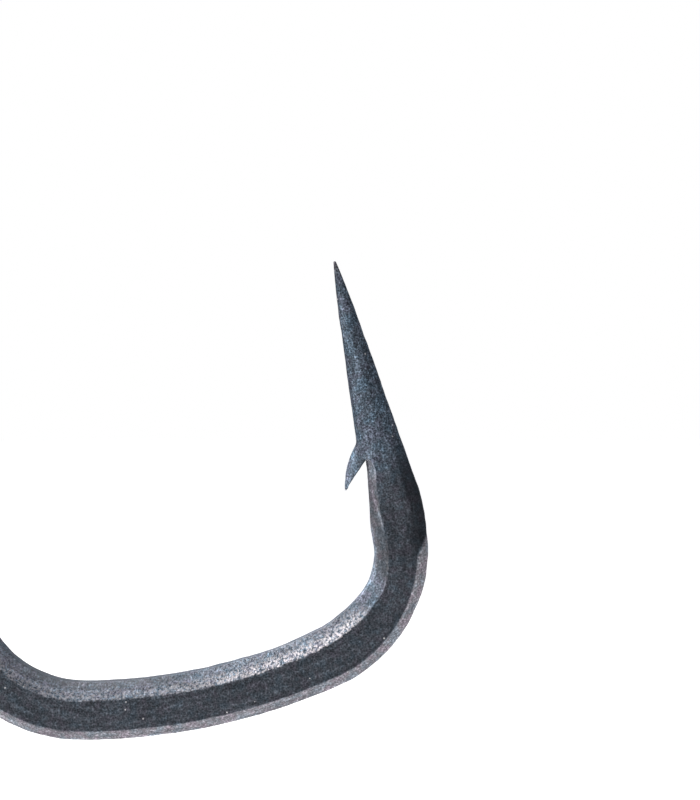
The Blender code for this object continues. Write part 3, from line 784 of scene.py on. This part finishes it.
def shaft_rings(unit):
    """Rings of the turned end: thread, journal, collar and the cone under it, from the top down."""
    nut_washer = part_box("nut_washer")[0][2]
    spots = []
    for k in range(THREAD_RINGS + 1):
        z = SHAFT_TOP - (SHAFT_TOP - nut_washer) * k / THREAD_RINGS
        chamfer = THREAD_CHAMFER * (1 - ease(SHAFT_TOP - z, -0.0002, THREAD_CHAMFER))
        spots.append((THREAD_RADIUS - chamfer, z, True))
    corner = COLLAR_RADIUS - COLLAR_ROUNDING
    plain = [
        (JOURNAL_RADIUS, nut_washer - 0.0008),
        (JOURNAL_RADIUS, COLLAR_Z + JOURNAL_FILLET),
        (JOURNAL_RADIUS + JOURNAL_FILLET, COLLAR_Z),
        (corner, COLLAR_Z),
    ]
    plain += round_edge((corner, COLLAR_Z - COLLAR_ROUNDING), COLLAR_ROUNDING, 90, 0)
    start, length = COLLAR_CONE
    for k in range(COLLAR_CONE_RINGS + 1):
        share = k / COLLAR_CONE_RINGS
        radius = BAR_RADIUS + (COLLAR_RADIUS - BAR_RADIUS) * (1 - ease(share, -0.25, 1.0)) ** 1.3
        plain.append((min(radius, COLLAR_RADIUS), COLLAR_Z - COLLAR_THICKNESS + start - length * share))
    spots += [(radius, z, False) for radius, z in plain]
    rings = []
    for radius, z, threaded in spots:
        turns = [z / THREAD_PITCH + math.atan2(v, u) / (2 * math.pi) for u, v in unit]
        sizes = [radius - THREAD_DEPTH * abs((turn % 1.0) * 2 - 1) * threaded for turn in turns]
        ring = [(u * size, v * size) for (u, v), size in zip(unit, sizes)]
        rings.append(ring_in_xz((0.0, z, math.radians(-90)), ring))
    return rings, [z for _, z, _ in spots]


# (distance past the tip, size) of the two rings that round the very tip, as shares of its radius
NIB_RINGS = ((0.5, 0.85), (0.9, 0.45))


def lower_hook():
    """The forging from its thread to its point, with the barb and the split pin's hole."""
    stations = hook_line()
    length = stations[-1][3]
    flow = []
    section = hook_section(length)
    unit = [(u / math.hypot(u, v), v / math.hypot(u, v)) for u, v in section]
    rings, heights = shaft_rings(unit)
    for z in heights:
        along = length + z - stations[0][1]
        flow += [(along, u * BAR_RADIUS, v * BAR_RADIUS) for u, v in unit]
    for station in stations[1:]:
        reach = max(length - station[3], 0.0)
        if abs(reach - CROTCH_AT) < 1e-6:
            reach = CROTCH_AT + 1e-6
        section = hook_section(reach)
        rings.append(ring_in_xz(station, section))
        flow += [(reach, u, v) for u, v in section]
    tip = stations[-1]
    nib = point_radius(0.0)
    for share, size in NIB_RINGS:
        spot = (tip[0] + nib * share * math.cos(tip[2]), tip[1] + nib * share * math.sin(tip[2]), tip[2])
        section = [(u * size, v * size) for u, v in hook_section(0.0)]
        rings.append(ring_in_xz(spot, section))
        flow += [(0.0, u, v) for u, v in section]
    body = loft("lower_hook_forging", rings, flow=flow)
    sliver = barb_sliver(tip)
    hole = prism("hole", circle(COTTER_HOLE_RADIUS, 32), -0.01, 0.01, "Y")
    carve(body, (sliver, "UNION"), (settle(hole, (0, 0, NUT_COTTER_Z)), "DIFFERENCE"))
    paint_hook(body, tip)
    finish_piece(body, "hook", "lower_hook", "forged_steel")


# ---- lower hook: finish

# (from, to) along the reach, over which one finish, painted highlight or painted shade gives way to the next
NEAR_BARB = (0.030, 0.050)
BARB_PALES_ALONG = (0.0385, 0.0415)
CONE_FADES = (0.036, 0.052)
FORGED_BEGINS = (0.042, 0.052)
PAINTED_SHADE_SIDE_BEGINS = (0.034, 0.047)
PAINTED_SHADE_SIDE_FADES = (0.0615, 0.0700)
OUTER_BEVEL_BEGINS = (0.0583, 0.0593)
HIGHLIGHT_STREAK_BEGINS = (0.0450, 0.0490)
HIGHLIGHT_STREAK_MOVES = (0.0485, 0.0555)
RIM_HIGHLIGHT_BEGINS = (0.0545, 0.0590)
RIM_HIGHLIGHT_FADES = (0.072, 0.082)
LIP_HIGHLIGHT_FADES = (0.0440, 0.0470)
PAINTED_FACET_SHADE_BEGINS = (0.0530, 0.0580)
KINK = (0.0638, 0.0680)
FACET_PAINTED_LIGHT_FADES = (0.0435, 0.0500)
FACET_BRIGHTENS = (0.081, 0.092)
FROST_BEGINS = (0.074, 0.084)
FROST_THINS = (0.100, 0.125)
WEAR_BEGINS = (0.115, 0.135)
WEAR_FADES = (0.150, 0.175)
VERY_TIP = (0.0005, 0.004)
SKIN_ROUGHENS = (0.002, 0.012)

# (from, to) across the bar: as a distance outwards, a share of the radius, or a share of the facet
BARB_PALES_OUTWARDS = (0.0, 0.0009)
OUTER_BEVEL_ACROSS = (0.0038, 0.0041)
WEAR_ACROSS = (0.0040, 0.0055)
PAINTED_SHADE_SIDE_ACROSS = (0.30, 0.62)
CONE_PAINTED_SHADE_ACROSS = (0.2, 0.8)
FACET_BORDER = (0.95, 1.05)
NEAR_FLAT_ACROSS = (0.25, 0.75)

# (middle, width) of painted highlights and painted shade, as a share of the facet, a share of the radius or
# a reach
HIGHLIGHT_STREAK_AT, HIGHLIGHT_STREAK_MOVE, HIGHLIGHT_STREAK_WIDTH = 0.50, 0.42, 0.10
RIM_HIGHLIGHT_ACROSS = (0.0, 0.16)
LIP_HIGHLIGHT_ACROSS = (0.92, 0.22)
PAINTED_FACET_SHADE_ACROSS = (0.85, 0.45)
BROW_HIGHLIGHT_ALONG = (0.0421, 0.0011)
BROW_HIGHLIGHT_ACROSS = (-0.62, 0.22)

# The facet's ragged border, and how far two borders lean across the bar
RAGGEDNESS, RAGGED_SIZE = 0.05, 0.0009
KINK_LEAN, BEVEL_LEAN = 0.0035, 2.0

# How pale each zone is, as linear reflectance; the outer bevel's tone is partly a painted reflection of the
# floor, and the brow's tone is a painted highlight
SHANK_TONE, FLATS_TONE, CONE_TONE, FACET_TONE = 0.080, 0.053, 0.085, 0.088
OUTER_BEVEL_TONE_AND_REFLECTION, BROW_HIGHLIGHT_TONE, BARB_TONE = 0.185, 0.20, 0.138


def barb_zone(points, along_flow, tip):
    """Each point's reach, which the barb's own points lack, and how far it belongs to the barb."""
    heading = np.array((math.cos(tip[2]), math.sin(tip[2])))
    inward = np.array((-heading[1], heading[0]))
    offset = points[:, (0, 2)] - np.array(tip[:2])
    along = -(offset @ heading)
    out = offset @ inward
    cone_size = point_radius(np.clip(along, 0, None))
    near = (along > NEAR_BARB[0]) & (along < NEAR_BARB[1])
    near &= (np.abs(points[:, 1]) < BAR_RADIUS) & (out < 2 * BAR_RADIUS)
    on_sliver = near & (along_flow == 0.0)
    barb = near * ease(out - cone_size, *BARB_PALES_OUTWARDS)
    barb = np.maximum(barb, 0.9 * on_sliver * ease(along, *BARB_PALES_ALONG))
    raised_skin = near & (out > cone_size + SLIGHT)
    return np.where(on_sliver | raised_skin, along, along_flow), barb


def hook_finish(points, reach, u, barb):
    """Per point of the forging: paleness, warmth, grain, frost and rubbing, with painted light and shade."""
    ends = 1 - ease(reach, *FLATS_END)
    radius = point_radius(np.clip(reach, 0, None))
    share = (u + radius - cut_depth(reach)) / inner_bevel_width(reach)
    edge_u = u / radius
    ragged = share + RAGGEDNESS * wavering(points, RAGGED_SIZE, 7)
    cone = 1 - ease(reach, *CONE_FADES)
    forged = ease(reach, *FORGED_BEGINS) * ends
    facet = (1 - ease(ragged, *FACET_BORDER)) * (reach > CROTCH_AT - SLIGHT) * ends
    past_kink = ease(reach - KINK_LEAN * share, *KINK)
    bevel = ease(reach + BEVEL_LEAN * (u - BAR_RADIUS), *OUTER_BEVEL_BEGINS)
    bevel *= ease(u, *OUTER_BEVEL_ACROSS) * ends
    # Painted shade: the rounded outer side of the point is darkened in colour, and its grain is damped there
    painted_shade_side = ease(edge_u, *PAINTED_SHADE_SIDE_ACROSS) * (1 - bevel)
    painted_shade_side *= ease(reach, *PAINTED_SHADE_SIDE_BEGINS) * ends
    painted_shade_side *= 1 - 0.85 * ease(reach, *PAINTED_SHADE_SIDE_FADES)
    rim_highlight_begins = ease(reach, *RIM_HIGHLIGHT_BEGINS)
    # Painted highlight: a pale streak along the facet's ridge, moving across the facet down the reach
    streak = hump(share, HIGHLIGHT_STREAK_AT + HIGHLIGHT_STREAK_MOVE * ease(reach, *HIGHLIGHT_STREAK_MOVES), HIGHLIGHT_STREAK_WIDTH)
    streak *= ease(reach, *HIGHLIGHT_STREAK_BEGINS) * (1 - rim_highlight_begins)
    # Painted highlight: a thin bright line along the facet's inner edge
    rim = hump(share, *RIM_HIGHLIGHT_ACROSS) * rim_highlight_begins * (1 - ease(reach, *RIM_HIGHLIGHT_FADES))
    # Painted highlight: a light band along the facet's border with the flat, just below the crotch
    lip_highlight = hump(share, *LIP_HIGHLIGHT_ACROSS) * (1 - ease(reach, *LIP_HIGHLIGHT_FADES))
    # Painted shade: the facet darkened towards its border with the flat, down to the kink
    painted_facet_shade = hump(share, *PAINTED_FACET_SHADE_ACROSS) * ease(reach, *PAINTED_FACET_SHADE_BEGINS) * (1 - past_kink)
    # Painted highlight: a light patch on the inner side just below the crotch, under the barb's root
    brow_highlight = hump(reach, *BROW_HIGHLIGHT_ALONG) * hump(edge_u, *BROW_HIGHLIGHT_ACROSS) * (edge_u < 0.0)
    very_tip = 1 - ease(reach, *VERY_TIP)

    # The facet's tone with its painted highlights and painted shade; the last term paints light on the facet
    # just below the crotch, over the shadow that the barb casts there
    facet_tone_with_painted_light = FACET_TONE + 0.120 * streak + 0.11 * rim + 0.14 * lip_highlight - 0.034 * painted_facet_shade + 0.022 * past_kink
    facet_tone_with_painted_light += 0.048 * ease(reach, *FACET_BRIGHTENS) + 0.13 * (1 - ease(reach, *FACET_PAINTED_LIGHT_FADES))
    tone = toward(SHANK_TONE, FLATS_TONE, forged)
    tone = toward(tone, CONE_TONE, cone)
    tone = toward(tone, facet_tone_with_painted_light, facet)
    # The outer bevel is paler: partly its own pinkish ground finish, partly a painted reflection of the pale
    # floor below it
    tone = toward(tone, OUTER_BEVEL_TONE_AND_REFLECTION, bevel)
    tone = toward(tone, BROW_HIGHLIGHT_TONE, brow_highlight * (1 - facet))
    # Painted shade: the outer side's darkening, and the cone's inner side darkened by a fifth to tone down
    # the lamp light on it
    tone *= (1 - 0.42 * painted_shade_side) * (1 - 0.20 * cone * ease(-edge_u, *CONE_PAINTED_SHADE_ACROSS))
    tone = toward(tone, BARB_TONE, barb) * (1 - 0.1 * very_tip)

    tint = 0.45 * forged + 0.25 * (1 - forged) * (1 - cone)
    tint = toward(tint, 0.85, facet * (1 - past_kink))
    tint = toward(tint, 0.25, facet * np.maximum(past_kink, rim))
    tint = (toward(tint, 1.0, bevel) + 0.8 * very_tip) * (1 - barb)

    bite = toward(0.85 + 0.70 * cone + 0.25 * forged, 0.90 + 0.35 * past_kink, facet)
    bite = toward(bite * (1 - 0.25 * painted_shade_side), 1.5, barb)

    frost = facet * ease(reach, *FROST_BEGINS) * (1 - 0.6 * ease(reach, *FROST_THINS))
    frost *= 0.25 + 0.75 * ease(share, *NEAR_FLAT_ACROSS)
    wear = 0.30 * ease(-u, *WEAR_ACROSS) * ease(reach, *WEAR_BEGINS)
    wear *= 1 - ease(reach, *WEAR_FADES)
    return {"tone": tone, "tint": tint, "bite": bite, "frost": frost, "wear": wear}


def paint_hook(body, tip):
    """Writes the forging's finish, with painted highlights and shade, and makes its skin uneven."""
    mesh = body.data
    flow = read_vectors(mesh.attributes["flow"].data, "vector")
    points = read_vectors(mesh.vertices, "co")
    reach, barb = barb_zone(points, flow[:, 0], tip)
    for name, values in hook_finish(points, reach, flow[:, 1], barb).items():
        write_values(mesh, name, np.clip(values, 0.0, 2.0))
    below_collar = points[:, 2] <= COLLAR_Z - 0.001
    forge_skin(body, 0.0075, 0.0022, 11, below_collar * ease(reach, *SKIN_ROUGHENS))


# ---- rail hook and yoke


def remeshed(thing, voxel, smoothing):
    """Melts joined shapes into one skin with soft inner and outer corners."""
    remesh = thing.modifiers.new("skin", "REMESH")
    remesh.mode = "VOXEL"
    remesh.voxel_size = voxel
    smooth = thing.modifiers.new("smooth", "SMOOTH")
    smooth.factor = 0.5
    smooth.iterations = smoothing
    bake_modifiers(thing)
    thing.data.shade_smooth()


# The finish away from the point
PLAIN_FINISH = {"tone": 0.085, "tint": 0.25, "bite": 0.85, "frost": 0.0}


def paint_plain(body, flow, wear):
    """The finish away from the point: even scale, with the streaks along flow and rubbed where told."""
    write_values(body.data, "flow", flow)
    write_values(body.data, "wear", wear)
    for name, value in PLAIN_FINISH.items():
        write_values(body.data, name, np.full(len(flow), value))


CROOK_CAP_RINGS = 15
EYE_ROUNDING = 0.0012
BORE_FLARE = 0.0006
BORE_FLARE_DEPTH = 0.0005
BAR_SIDES = 64


def mirrored(profile):
    """A profile with its own mirror image added above height zero."""
    return profile + [(radius, -height) for radius, height in reversed(profile)]


def rail_hook():
    """The crook, neck and eye, forged in one."""
    radius = CROOK_INNER_RADIUS + BAR_RADIUS
    neck_turn = math.degrees(math.acos(NECK_BEND_RADIUS / (radius + NECK_BEND_RADIUS)))
    tip = math.radians(CROOK_TIP_ANGLE)
    start = (radius * math.cos(tip), radius * math.sin(tip) - CROOK_INNER_RADIUS)
    low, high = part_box("rail_hook")
    eye_radius = (high[1] - low[1]) / 2
    runs = (
        (radius, -CROOK_TIP_ANGLE - neck_turn, 170),
        (NECK_BEND_RADIUS, neck_turn, 40),
        (NECK_LENGTH + eye_radius / 2, 0, 20),
    )
    stations = centre_line(start, CROOK_TIP_ANGLE - 90.0, runs)
    rings = []
    x, z, heading = stations[0][:3]
    for k in range(1, CROOK_CAP_RINGS + 1):
        angle = math.radians(90 * k / CROOK_CAP_RINGS)
        back = BAR_RADIUS * math.cos(angle)
        spot = (x - back * math.cos(heading), z - back * math.sin(heading), heading)
        rings.append(ring_in_xz(spot, circle(BAR_RADIUS * math.sin(angle), BAR_SIDES)))
    rings += [ring_in_xz(station, circle(BAR_RADIUS, BAR_SIDES)) for station in stations]
    body = loft("rail_hook_forging", rings)

    bush_low, bush_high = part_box("eye_bush")
    half = bush_high[0]
    corner = eye_radius - EYE_ROUNDING
    profile = [(corner, -half)] + round_edge((corner, EYE_ROUNDING - half), EYE_ROUNDING, -90, 0)
    eye = lay_along_pin(turned("eye", mirrored(profile)))
    carve(body, (eye, "UNION"))
    remeshed(body, 0.00055, 6)
    bore_radius = (bush_high[1] - bush_low[1]) / 2 + GAP
    profile = [(bore_radius + BORE_FLARE, -half - BORE_FLARE_DEPTH), (bore_radius, BORE_FLARE_DEPTH - half)]
    bore = lay_along_pin(turned("bore", mirrored(profile)))
    carve(body, (bore, "DIFFERENCE"))
    paint_rail_hook(body, radius)
    finish_piece(body, "rail_hook", "rail_hook", "forged_steel")


# Where the rail rubs the crook: how deep under its inner side, how strongly, and how far round the crown
RUBBED_FROM = 0.0035
RUBBED_DEPTH = 0.002
RUBBED_STRENGTH = 0.85
RUBBED_TURN = 0.75
CROOK_ABOVE = -0.02


def paint_rail_hook(body, radius):
    """Lays the streaks along the crook, and the bright wear where the rail rubs."""
    points = read_vectors(body.data.vertices, "co")
    x, y, z = points[:, 0], points[:, 1], points[:, 2] + CROOK_INNER_RADIUS
    turn = np.arctan2(z, x)
    distance = np.hypot(x, z)
    on_crook = z > CROOK_ABOVE
    along = np.where(on_crook, turn * radius, z)
    across = np.where(on_crook, distance - radius, x)
    inside = np.clip((radius - RUBBED_FROM - distance) / RUBBED_DEPTH, 0, 1)
    wear = RUBBED_STRENGTH * inside * hump(turn, math.pi / 2, RUBBED_TURN) * on_crook
    paint_plain(body, np.stack((along, across, y), axis=1), wear)
    forge_skin(body, 0.009, 0.0024, 21)


def swivel_yoke():
    """The bow, from the frame's own solid, with the rounded edges and soft corners of a forging."""
    source = frame["nodes"]["swivel_yoke"]
    body = new_object("swivel_yoke_forging", source.data.copy())
    weld = bmesh.new()
    weld.from_mesh(body.data)
    bmesh.ops.remove_doubles(weld, verts=weld.verts[:], dist=0.000005)
    weld.to_mesh(body.data)
    weld.free()
    remeshed(body, 0.0005, 9)
    points = read_vectors(body.data.vertices, "co")
    paint_plain(body, points[:, (2, 0, 1)], np.zeros(len(points)))
    forge_skin(body, 0.008, 0.0022, 31)
    finish_piece(body, "yoke", "swivel_yoke", "forged_steel")


# ---- turned and bent pieces

RING_SIDES = 128
RING_CHAMFER = 0.0003


def ring_profile(inner, outer, low, high):
    """The outline of a washer with its four edges broken."""
    cut = RING_CHAMFER
    return [
        (inner, low + cut), (inner + cut, low), (outer - cut, low), (outer, low + cut),
        (outer, high - cut), (outer - cut, high), (inner + cut, high), (inner, high - cut),
    ]


# (CAD node, bore, body, slot, whether it lies along the clevis pin)
RINGS = (
    ("thrust_washer", JOURNAL_RADIUS + JOURNAL_CLEARANCE, "hook", "bronze", False),
    ("nut_washer", JOURNAL_RADIUS + GAP, "hook", "plated_steel", False),
    ("left_spacer", PIN_RADIUS + GAP, "yoke", "bronze", True),
    ("right_spacer", PIN_RADIUS + GAP, "yoke", "bronze", True),
    ("clevis_pin_washer", PIN_RADIUS + GAP, "yoke", "plated_steel", True),
    ("eye_bush", PIN_RADIUS + JOURNAL_CLEARANCE, "rail_hook", "bronze", True),
)


def flat_rings():
    """Every washer and spacer, and the eye's bush, each from its own box in the frame."""
    for name, inner, body, slot, lying in RINGS:
        low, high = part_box(name)
        axis, across = (0, 1) if lying else (2, 0)
        profile = ring_profile(inner, high[across], low[axis], high[axis])
        ring = turned(f"{name}_ring", profile, RING_SIDES, True)
        if lying:
            lay_along_pin(ring)
        finish_piece(ring, body, name, slot)


SLEEVE_RADIUS = 0.008
FLANGE_THICKNESS = 0.002


def swivel_bush():
    """The flanged sleeve that the journal turns in."""
    low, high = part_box("swivel_bush")
    inner, seat = JOURNAL_RADIUS + JOURNAL_CLEARANCE, low[2] + FLANGE_THICKNESS
    flange = ring_profile(inner, high[0], low[2], seat)[:6]
    sleeve = ring_profile(inner, SLEEVE_RADIUS, low[2], high[2])[4:]
    body = turned("swivel_bush_sleeve", flange + [(SLEEVE_RADIUS, seat)] + sleeve, RING_SIDES, True)
    finish_piece(body, "yoke", "swivel_bush", "bronze")


NUT_HEXAGON_HEIGHT = 0.010
NUT_CORNER_CUT = (0.0017, 0.0013)
CROWN_RADIUS = 0.0086
CROWN_CHAMFER = 0.0004
NUT_BORE = 0.0061
NUT_FLARE = 0.0008
NUT_SLOT_HALF_WIDTH = 0.0019
NUT_EDGE = 0.0002


def castle_nut():
    """The hexagon with rounded corners at both ends, the slotted crown and a threaded bore."""
    low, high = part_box("castle_nut")
    bottom, top = low[2], high[2]
    hexagon_top = bottom + NUT_HEXAGON_HEIGHT
    corner = (high[0] - low[0]) / 2 / math.cos(math.radians(30))
    body = prism("castle_nut_hexagon", circle(corner, 6, 30), bottom, hexagon_top, "Z")

    inset, drop = NUT_CORNER_CUT
    narrow, wide = corner - inset, corner + OVERLAP
    cone = [(narrow, bottom - SLIGHT), (wide, bottom + drop)]
    cone += [(wide, hexagon_top - drop), (narrow, hexagon_top + SLIGHT)]
    crown = [
        (CROWN_RADIUS, hexagon_top - OVERLAP),
        (CROWN_RADIUS, top - CROWN_CHAMFER),
        (CROWN_RADIUS - CROWN_CHAMFER, top),
    ]
    flared = NUT_BORE + NUT_FLARE
    bore = [(flared, bottom - 2 * SLIGHT), (NUT_BORE, bottom + NUT_FLARE)]
    bore += [(NUT_BORE, top - NUT_FLARE), (flared, top + 2 * SLIGHT)]
    tools = [(turned("corners", cone, 192), "INTERSECT"), (turned("crown", crown, 128), "UNION")]
    tools.append((turned("bore", bore), "DIFFERENCE"))
    half = NUT_SLOT_HALF_WIDTH
    for i in range(3):
        slot = prism(f"slot_{i}", [(-half, 0.0), (half, 0.0), (half, 0.01), (-half, 0.01)], -0.02, 0.02, "Y")
        tools.append((settle(slot, (0, 0, hexagon_top), (0, 0, 60 * i)), "DIFFERENCE"))
    carve(body, *tools)
    bevel = body.modifiers.new("edges", "BEVEL")
    bevel.width = NUT_EDGE
    bevel.segments = 2
    bevel.limit_method = "ANGLE"
    bevel.angle_limit = math.radians(40)
    bake_modifiers(body)
    body.data.shade_smooth()
    body.data.set_sharp_from_angle(angle=math.radians(30))
    finish_piece(body, "hook", "castle_nut", "plated_steel")


PIN_HEAD_THICKNESS = 0.004
HEAD_ROUNDING = 0.0012
PIN_DOME = (0.45, 0.00015)
PIN_HEAD_EDGE = 0.0002
PIN_FILLET = 0.0003
PIN_TIP_CHAMFER = 0.001


def clevis_pin():
    """The headed pin with a domed head and a chamfered end, drilled for its split pin."""
    low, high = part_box("clevis_pin")
    tip, head = high[0], low[0]
    head_radius = (high[1] - low[1]) / 2
    seat = head + PIN_HEAD_THICKNESS
    dome_share, dome_height = PIN_DOME
    corner, rim = head_radius - HEAD_ROUNDING, head + dome_height
    profile = [(head_radius * dome_share, head), (corner, rim)]
    profile += round_edge((corner, rim + HEAD_ROUNDING), HEAD_ROUNDING, -90, 0)
    profile += [(head_radius, seat - PIN_HEAD_EDGE), (head_radius - PIN_HEAD_EDGE, seat)]
    profile += [(PIN_RADIUS + PIN_FILLET, seat), (PIN_RADIUS, seat + PIN_FILLET)]
    profile += [(PIN_RADIUS, tip - PIN_TIP_CHAMFER), (PIN_RADIUS - PIN_TIP_CHAMFER, tip)]
    body = lay_along_pin(turned("clevis_pin_shaft", profile, 128))
    hole = prism("hole", circle(COTTER_HOLE_RADIUS, 32), PIN_Z - 0.01, PIN_Z + 0.01, "Z")
    carve(body, (settle(hole, (PIN_COTTER_X, 0, 0)), "DIFFERENCE"))
    body.data.set_sharp_from_angle(angle=SHARP_TURNED_EDGE)
    finish_piece(body, "yoke", "clevis_pin", "plated_steel")


# The split pins' half-round wire, taller than it is wide so that the two legs fill the hole
WIRE_TALLNESS = 2.1
WIRE_FLAT_FROM = 38
WIRE_PARTS = 28
WIRE_FLAT_PARTS = 6


def split_pin(name, reach):
    """A split pin along Y, bent open at one end and looped at the other."""
    leg_x = WIRE_RADIUS + GAP / 2
    turn = math.degrees(math.acos((LOOP_RADIUS + leg_x) / LOOP_RADIUS / 2))
    half = (
        (COTTER_TAIL, 0, 6),
        (COTTER_BEND, 90.0, 14),
        (2 * reach + COTTER_LOOP_STAND_OFF, 0, 16),
        (LOOP_RADIUS, turn, 8),
    )
    runs = half + ((LOOP_RADIUS, -180.0 - 2 * turn, 48),) + tuple(reversed(half))
    line = centre_line((0.0, 0.0), 180.0, runs)
    middle = (line[0][0] + line[-1][0]) / 2
    first = math.radians(WIRE_FLAT_FROM)
    wire = [(math.cos(first), math.sin(first))]
    wire += round_edge((0, 0), 1, WIRE_FLAT_FROM, 360 - WIRE_FLAT_FROM, WIRE_PARTS)
    wire = [(WIRE_RADIUS * x, WIRE_TALLNESS * WIRE_RADIUS * y) for x, y in wire]
    (flat_at, first), (_, last) = wire[0], wire[-1]
    wire += [(flat_at, last + (first - last) * i / WIRE_FLAT_PARTS) for i in range(1, WIRE_FLAT_PARTS)]
    wire = soften(wire, 1)
    rings = []
    for x, y, heading, _ in line:
        right = (math.sin(heading), -math.cos(heading))
        base = (x - middle, reach + COTTER_BEND + y - line[0][1])
        rings.append([(base[0] + u * right[0], base[1] + u * right[1], v) for u, v in wire])
    return loft(name, rings)


NUT_COTTER_REACH = 0.0086
PIN_COTTER_REACH = 0.005


def split_pins():
    """The split pin through the nut, and the one through the clevis pin's end."""
    pin = settle(split_pin("nut_split_pin", NUT_COTTER_REACH), (0, 0, NUT_COTTER_Z))
    finish_piece(pin, "hook", "nut_cotter", "plated_steel")
    pin = settle(split_pin("clevis_split_pin", PIN_COTTER_REACH), (PIN_COTTER_X, 0, PIN_Z), (90, 0, 90))
    finish_piece(pin, "yoke", "clevis_cotter", "plated_steel")


# (radius, height) of the grease nipple's stem and neck, its ball's sizes and its hexagon's
NIPPLE_STEM = (
    (0.0027, -0.0045), (0.0027, 0.0016), (0.0024, 0.0030), (0.0024, 0.0036), (0.0022, 0.0042),
    (0.0022, 0.0060), (0.0024, 0.0064),
)
NIPPLE_BORE = ((0.0010, 0.0098), (0.0006, 0.0094))
BALL_RADIUS, BALL_HEIGHT, BALL_AT = 0.0032, 0.0021, 0.0079
BALL_FROM, BALL_TURN, BALL_PARTS = -35, 95, 8
NIPPLE_HEXAGON = (0.0044, 0.0033)
YOKE_FRONT_Y = -0.0145


def grease_nipple():
    """The straight nipple: stem, hexagon, neck and ball."""
    profile = list(NIPPLE_STEM)
    for k in range(BALL_PARTS + 1):
        turn = math.radians(BALL_FROM + BALL_TURN * k / BALL_PARTS)
        profile.append((BALL_RADIUS * math.cos(turn) ** 0.9, BALL_AT + BALL_HEIGHT * math.sin(turn)))
    body = turned("grease_nipple_body", profile + list(NIPPLE_BORE), 64)
    corner, top = NIPPLE_HEXAGON
    base = prism("base", circle(corner, 6), GAP, top, "Z")
    carve(body, (base, "UNION"))
    body.data.set_sharp_from_angle(angle=SHARP_TURNED_EDGE)
    settle(body, (0, YOKE_FRONT_Y, middle_of("grease_nipple", 2)), (90, 0, 0))
    finish_piece(body, "yoke", "grease_nipple", "plated_steel")


# ---- stage, light and camera

FLOOR_DROP = 0.10
FLOOR_RADIUS = 9.0
FLOOR_SIDES = 96
FLOOR_FINISH = {
    "Base Color": (0.86, 0.86, 0.86, 1.0),
    "Roughness": 0.9,
    "Emission Color": (1.0, 1.0, 1.0, 1.0),
    "Emission Strength": 0.55,
}


def stage():
    """A wide pale floor under the object."""
    floor_z = CAD_BOX[0][2] - FLOOR_DROP
    mesh = bpy.data.meshes.new("floor")
    edge = [(x, y, floor_z) for x, y in circle(FLOOR_RADIUS, FLOOR_SIDES)]
    mesh.from_pydata(edge, [], [tuple(range(FLOOR_SIDES))])
    floor = new_object("floor", mesh)
    material, graph, shader = principled("pale_floor")
    graph.connect(shader, FLOOR_FINISH)
    mesh.materials.append(material)


# The room that the metal reflects: how it pales towards the left and upwards, and its shades
ROOM_LEAN = (-0.35, 0.25)
ROOM_SHADES = ((0.15, (0.12, 0.125, 0.14)), (0.5, (0.40, 0.41, 0.43)), (0.9, (0.75, 0.75, 0.76)))


def world():
    """White to the eye, and a soft room for the metal: darker below and to the right."""
    new = bpy.data.worlds.new("studio")
    bpy.context.scene.world = new
    new.use_nodes = True
    new.node_tree.nodes.clear()
    graph = Graph(new.node_tree)
    x = graph.add("ShaderNodeSeparateXYZ", {0: graph.add("ShaderNodeTexCoord", output="Generated")}, "X")
    room = graph.ramp(x * ROOM_LEAN[0] + x.sibling("Z") * ROOM_LEAN[1] + 0.5, ROOM_SHADES)
    soft = graph.add("ShaderNodeBackground", {"Color": room, "Strength": 1.0})
    white = graph.add("ShaderNodeBackground", {"Color": (1, 1, 1, 1), "Strength": 1.0})
    seen = graph.add("ShaderNodeLightPath", output="Is Camera Ray")
    mixed = graph.add("ShaderNodeMixShader", {0: seen, 1: soft, 2: white})
    output = graph.tree.nodes.new("ShaderNodeOutputWorld")
    graph.connect(output, {"Surface": mixed})


# (name, place from the target, (width, height), watts)
LAMPS = (
    ("left_softbox", (-1.05, -0.35, 0.25), (0.35, 0.80), 7.0),
    ("back_softbox", (-0.60, 0.50, 0.85), (0.50, 0.50), 9.0),
    ("right_strip", (0.90, -0.10, -0.35), (0.12, 0.60), 0.7),
)


def lights(target):
    """Area lamps round the target, all facing it."""
    for name, offset, size, power in LAMPS:
        data = bpy.data.lights.new(name, "AREA")
        data.shape = "RECTANGLE"
        data.size, data.size_y = size
        data.energy = power
        light = new_object(name, data)
        place = Vector(target) + Vector(offset)
        light.location = place
        light.rotation_euler = (Vector(target) - place).to_track_quat("-Z", "Y").to_euler()


def camera(target):
    """A level camera in front of the point."""
    data = bpy.data.cameras.new("camera")
    data.lens = LENS
    data.sensor_width = SENSOR
    data.clip_start = 0.01
    data.clip_end = 50.0
    eye = new_object("camera", data)
    eye.location = (target[0], target[1] - FRAME_HEIGHT * LENS / SENSOR, target[2])
    eye.rotation_euler = (math.radians(90), 0, 0)
    bpy.context.scene.camera = eye


def view_target():
    """The point that the camera looks at, from the middle of the heel's bend."""
    heel_z = COLLAR_Z - COLLAR_THICKNESS - GOOSENECK_DROP - SHANK_LENGTH
    heel_z -= 2 * GOOSENECK_RADIUS * math.sin(math.radians(GOOSENECK_TURN))
    return VIEW_RIGHT_OF_HEEL, 0.0, heel_z + VIEW_ABOVE_HEEL


def main():
    lower_hook()
    rail_hook()
    swivel_yoke()
    flat_rings()
    swivel_bush()
    castle_nut()
    clevis_pin()
    split_pins()
    grease_nipple()
    target = view_target()
    stage()
    world()
    lights(target)
    camera(target)
    bpy.context.scene.view_settings.view_transform = "Standard"


main()
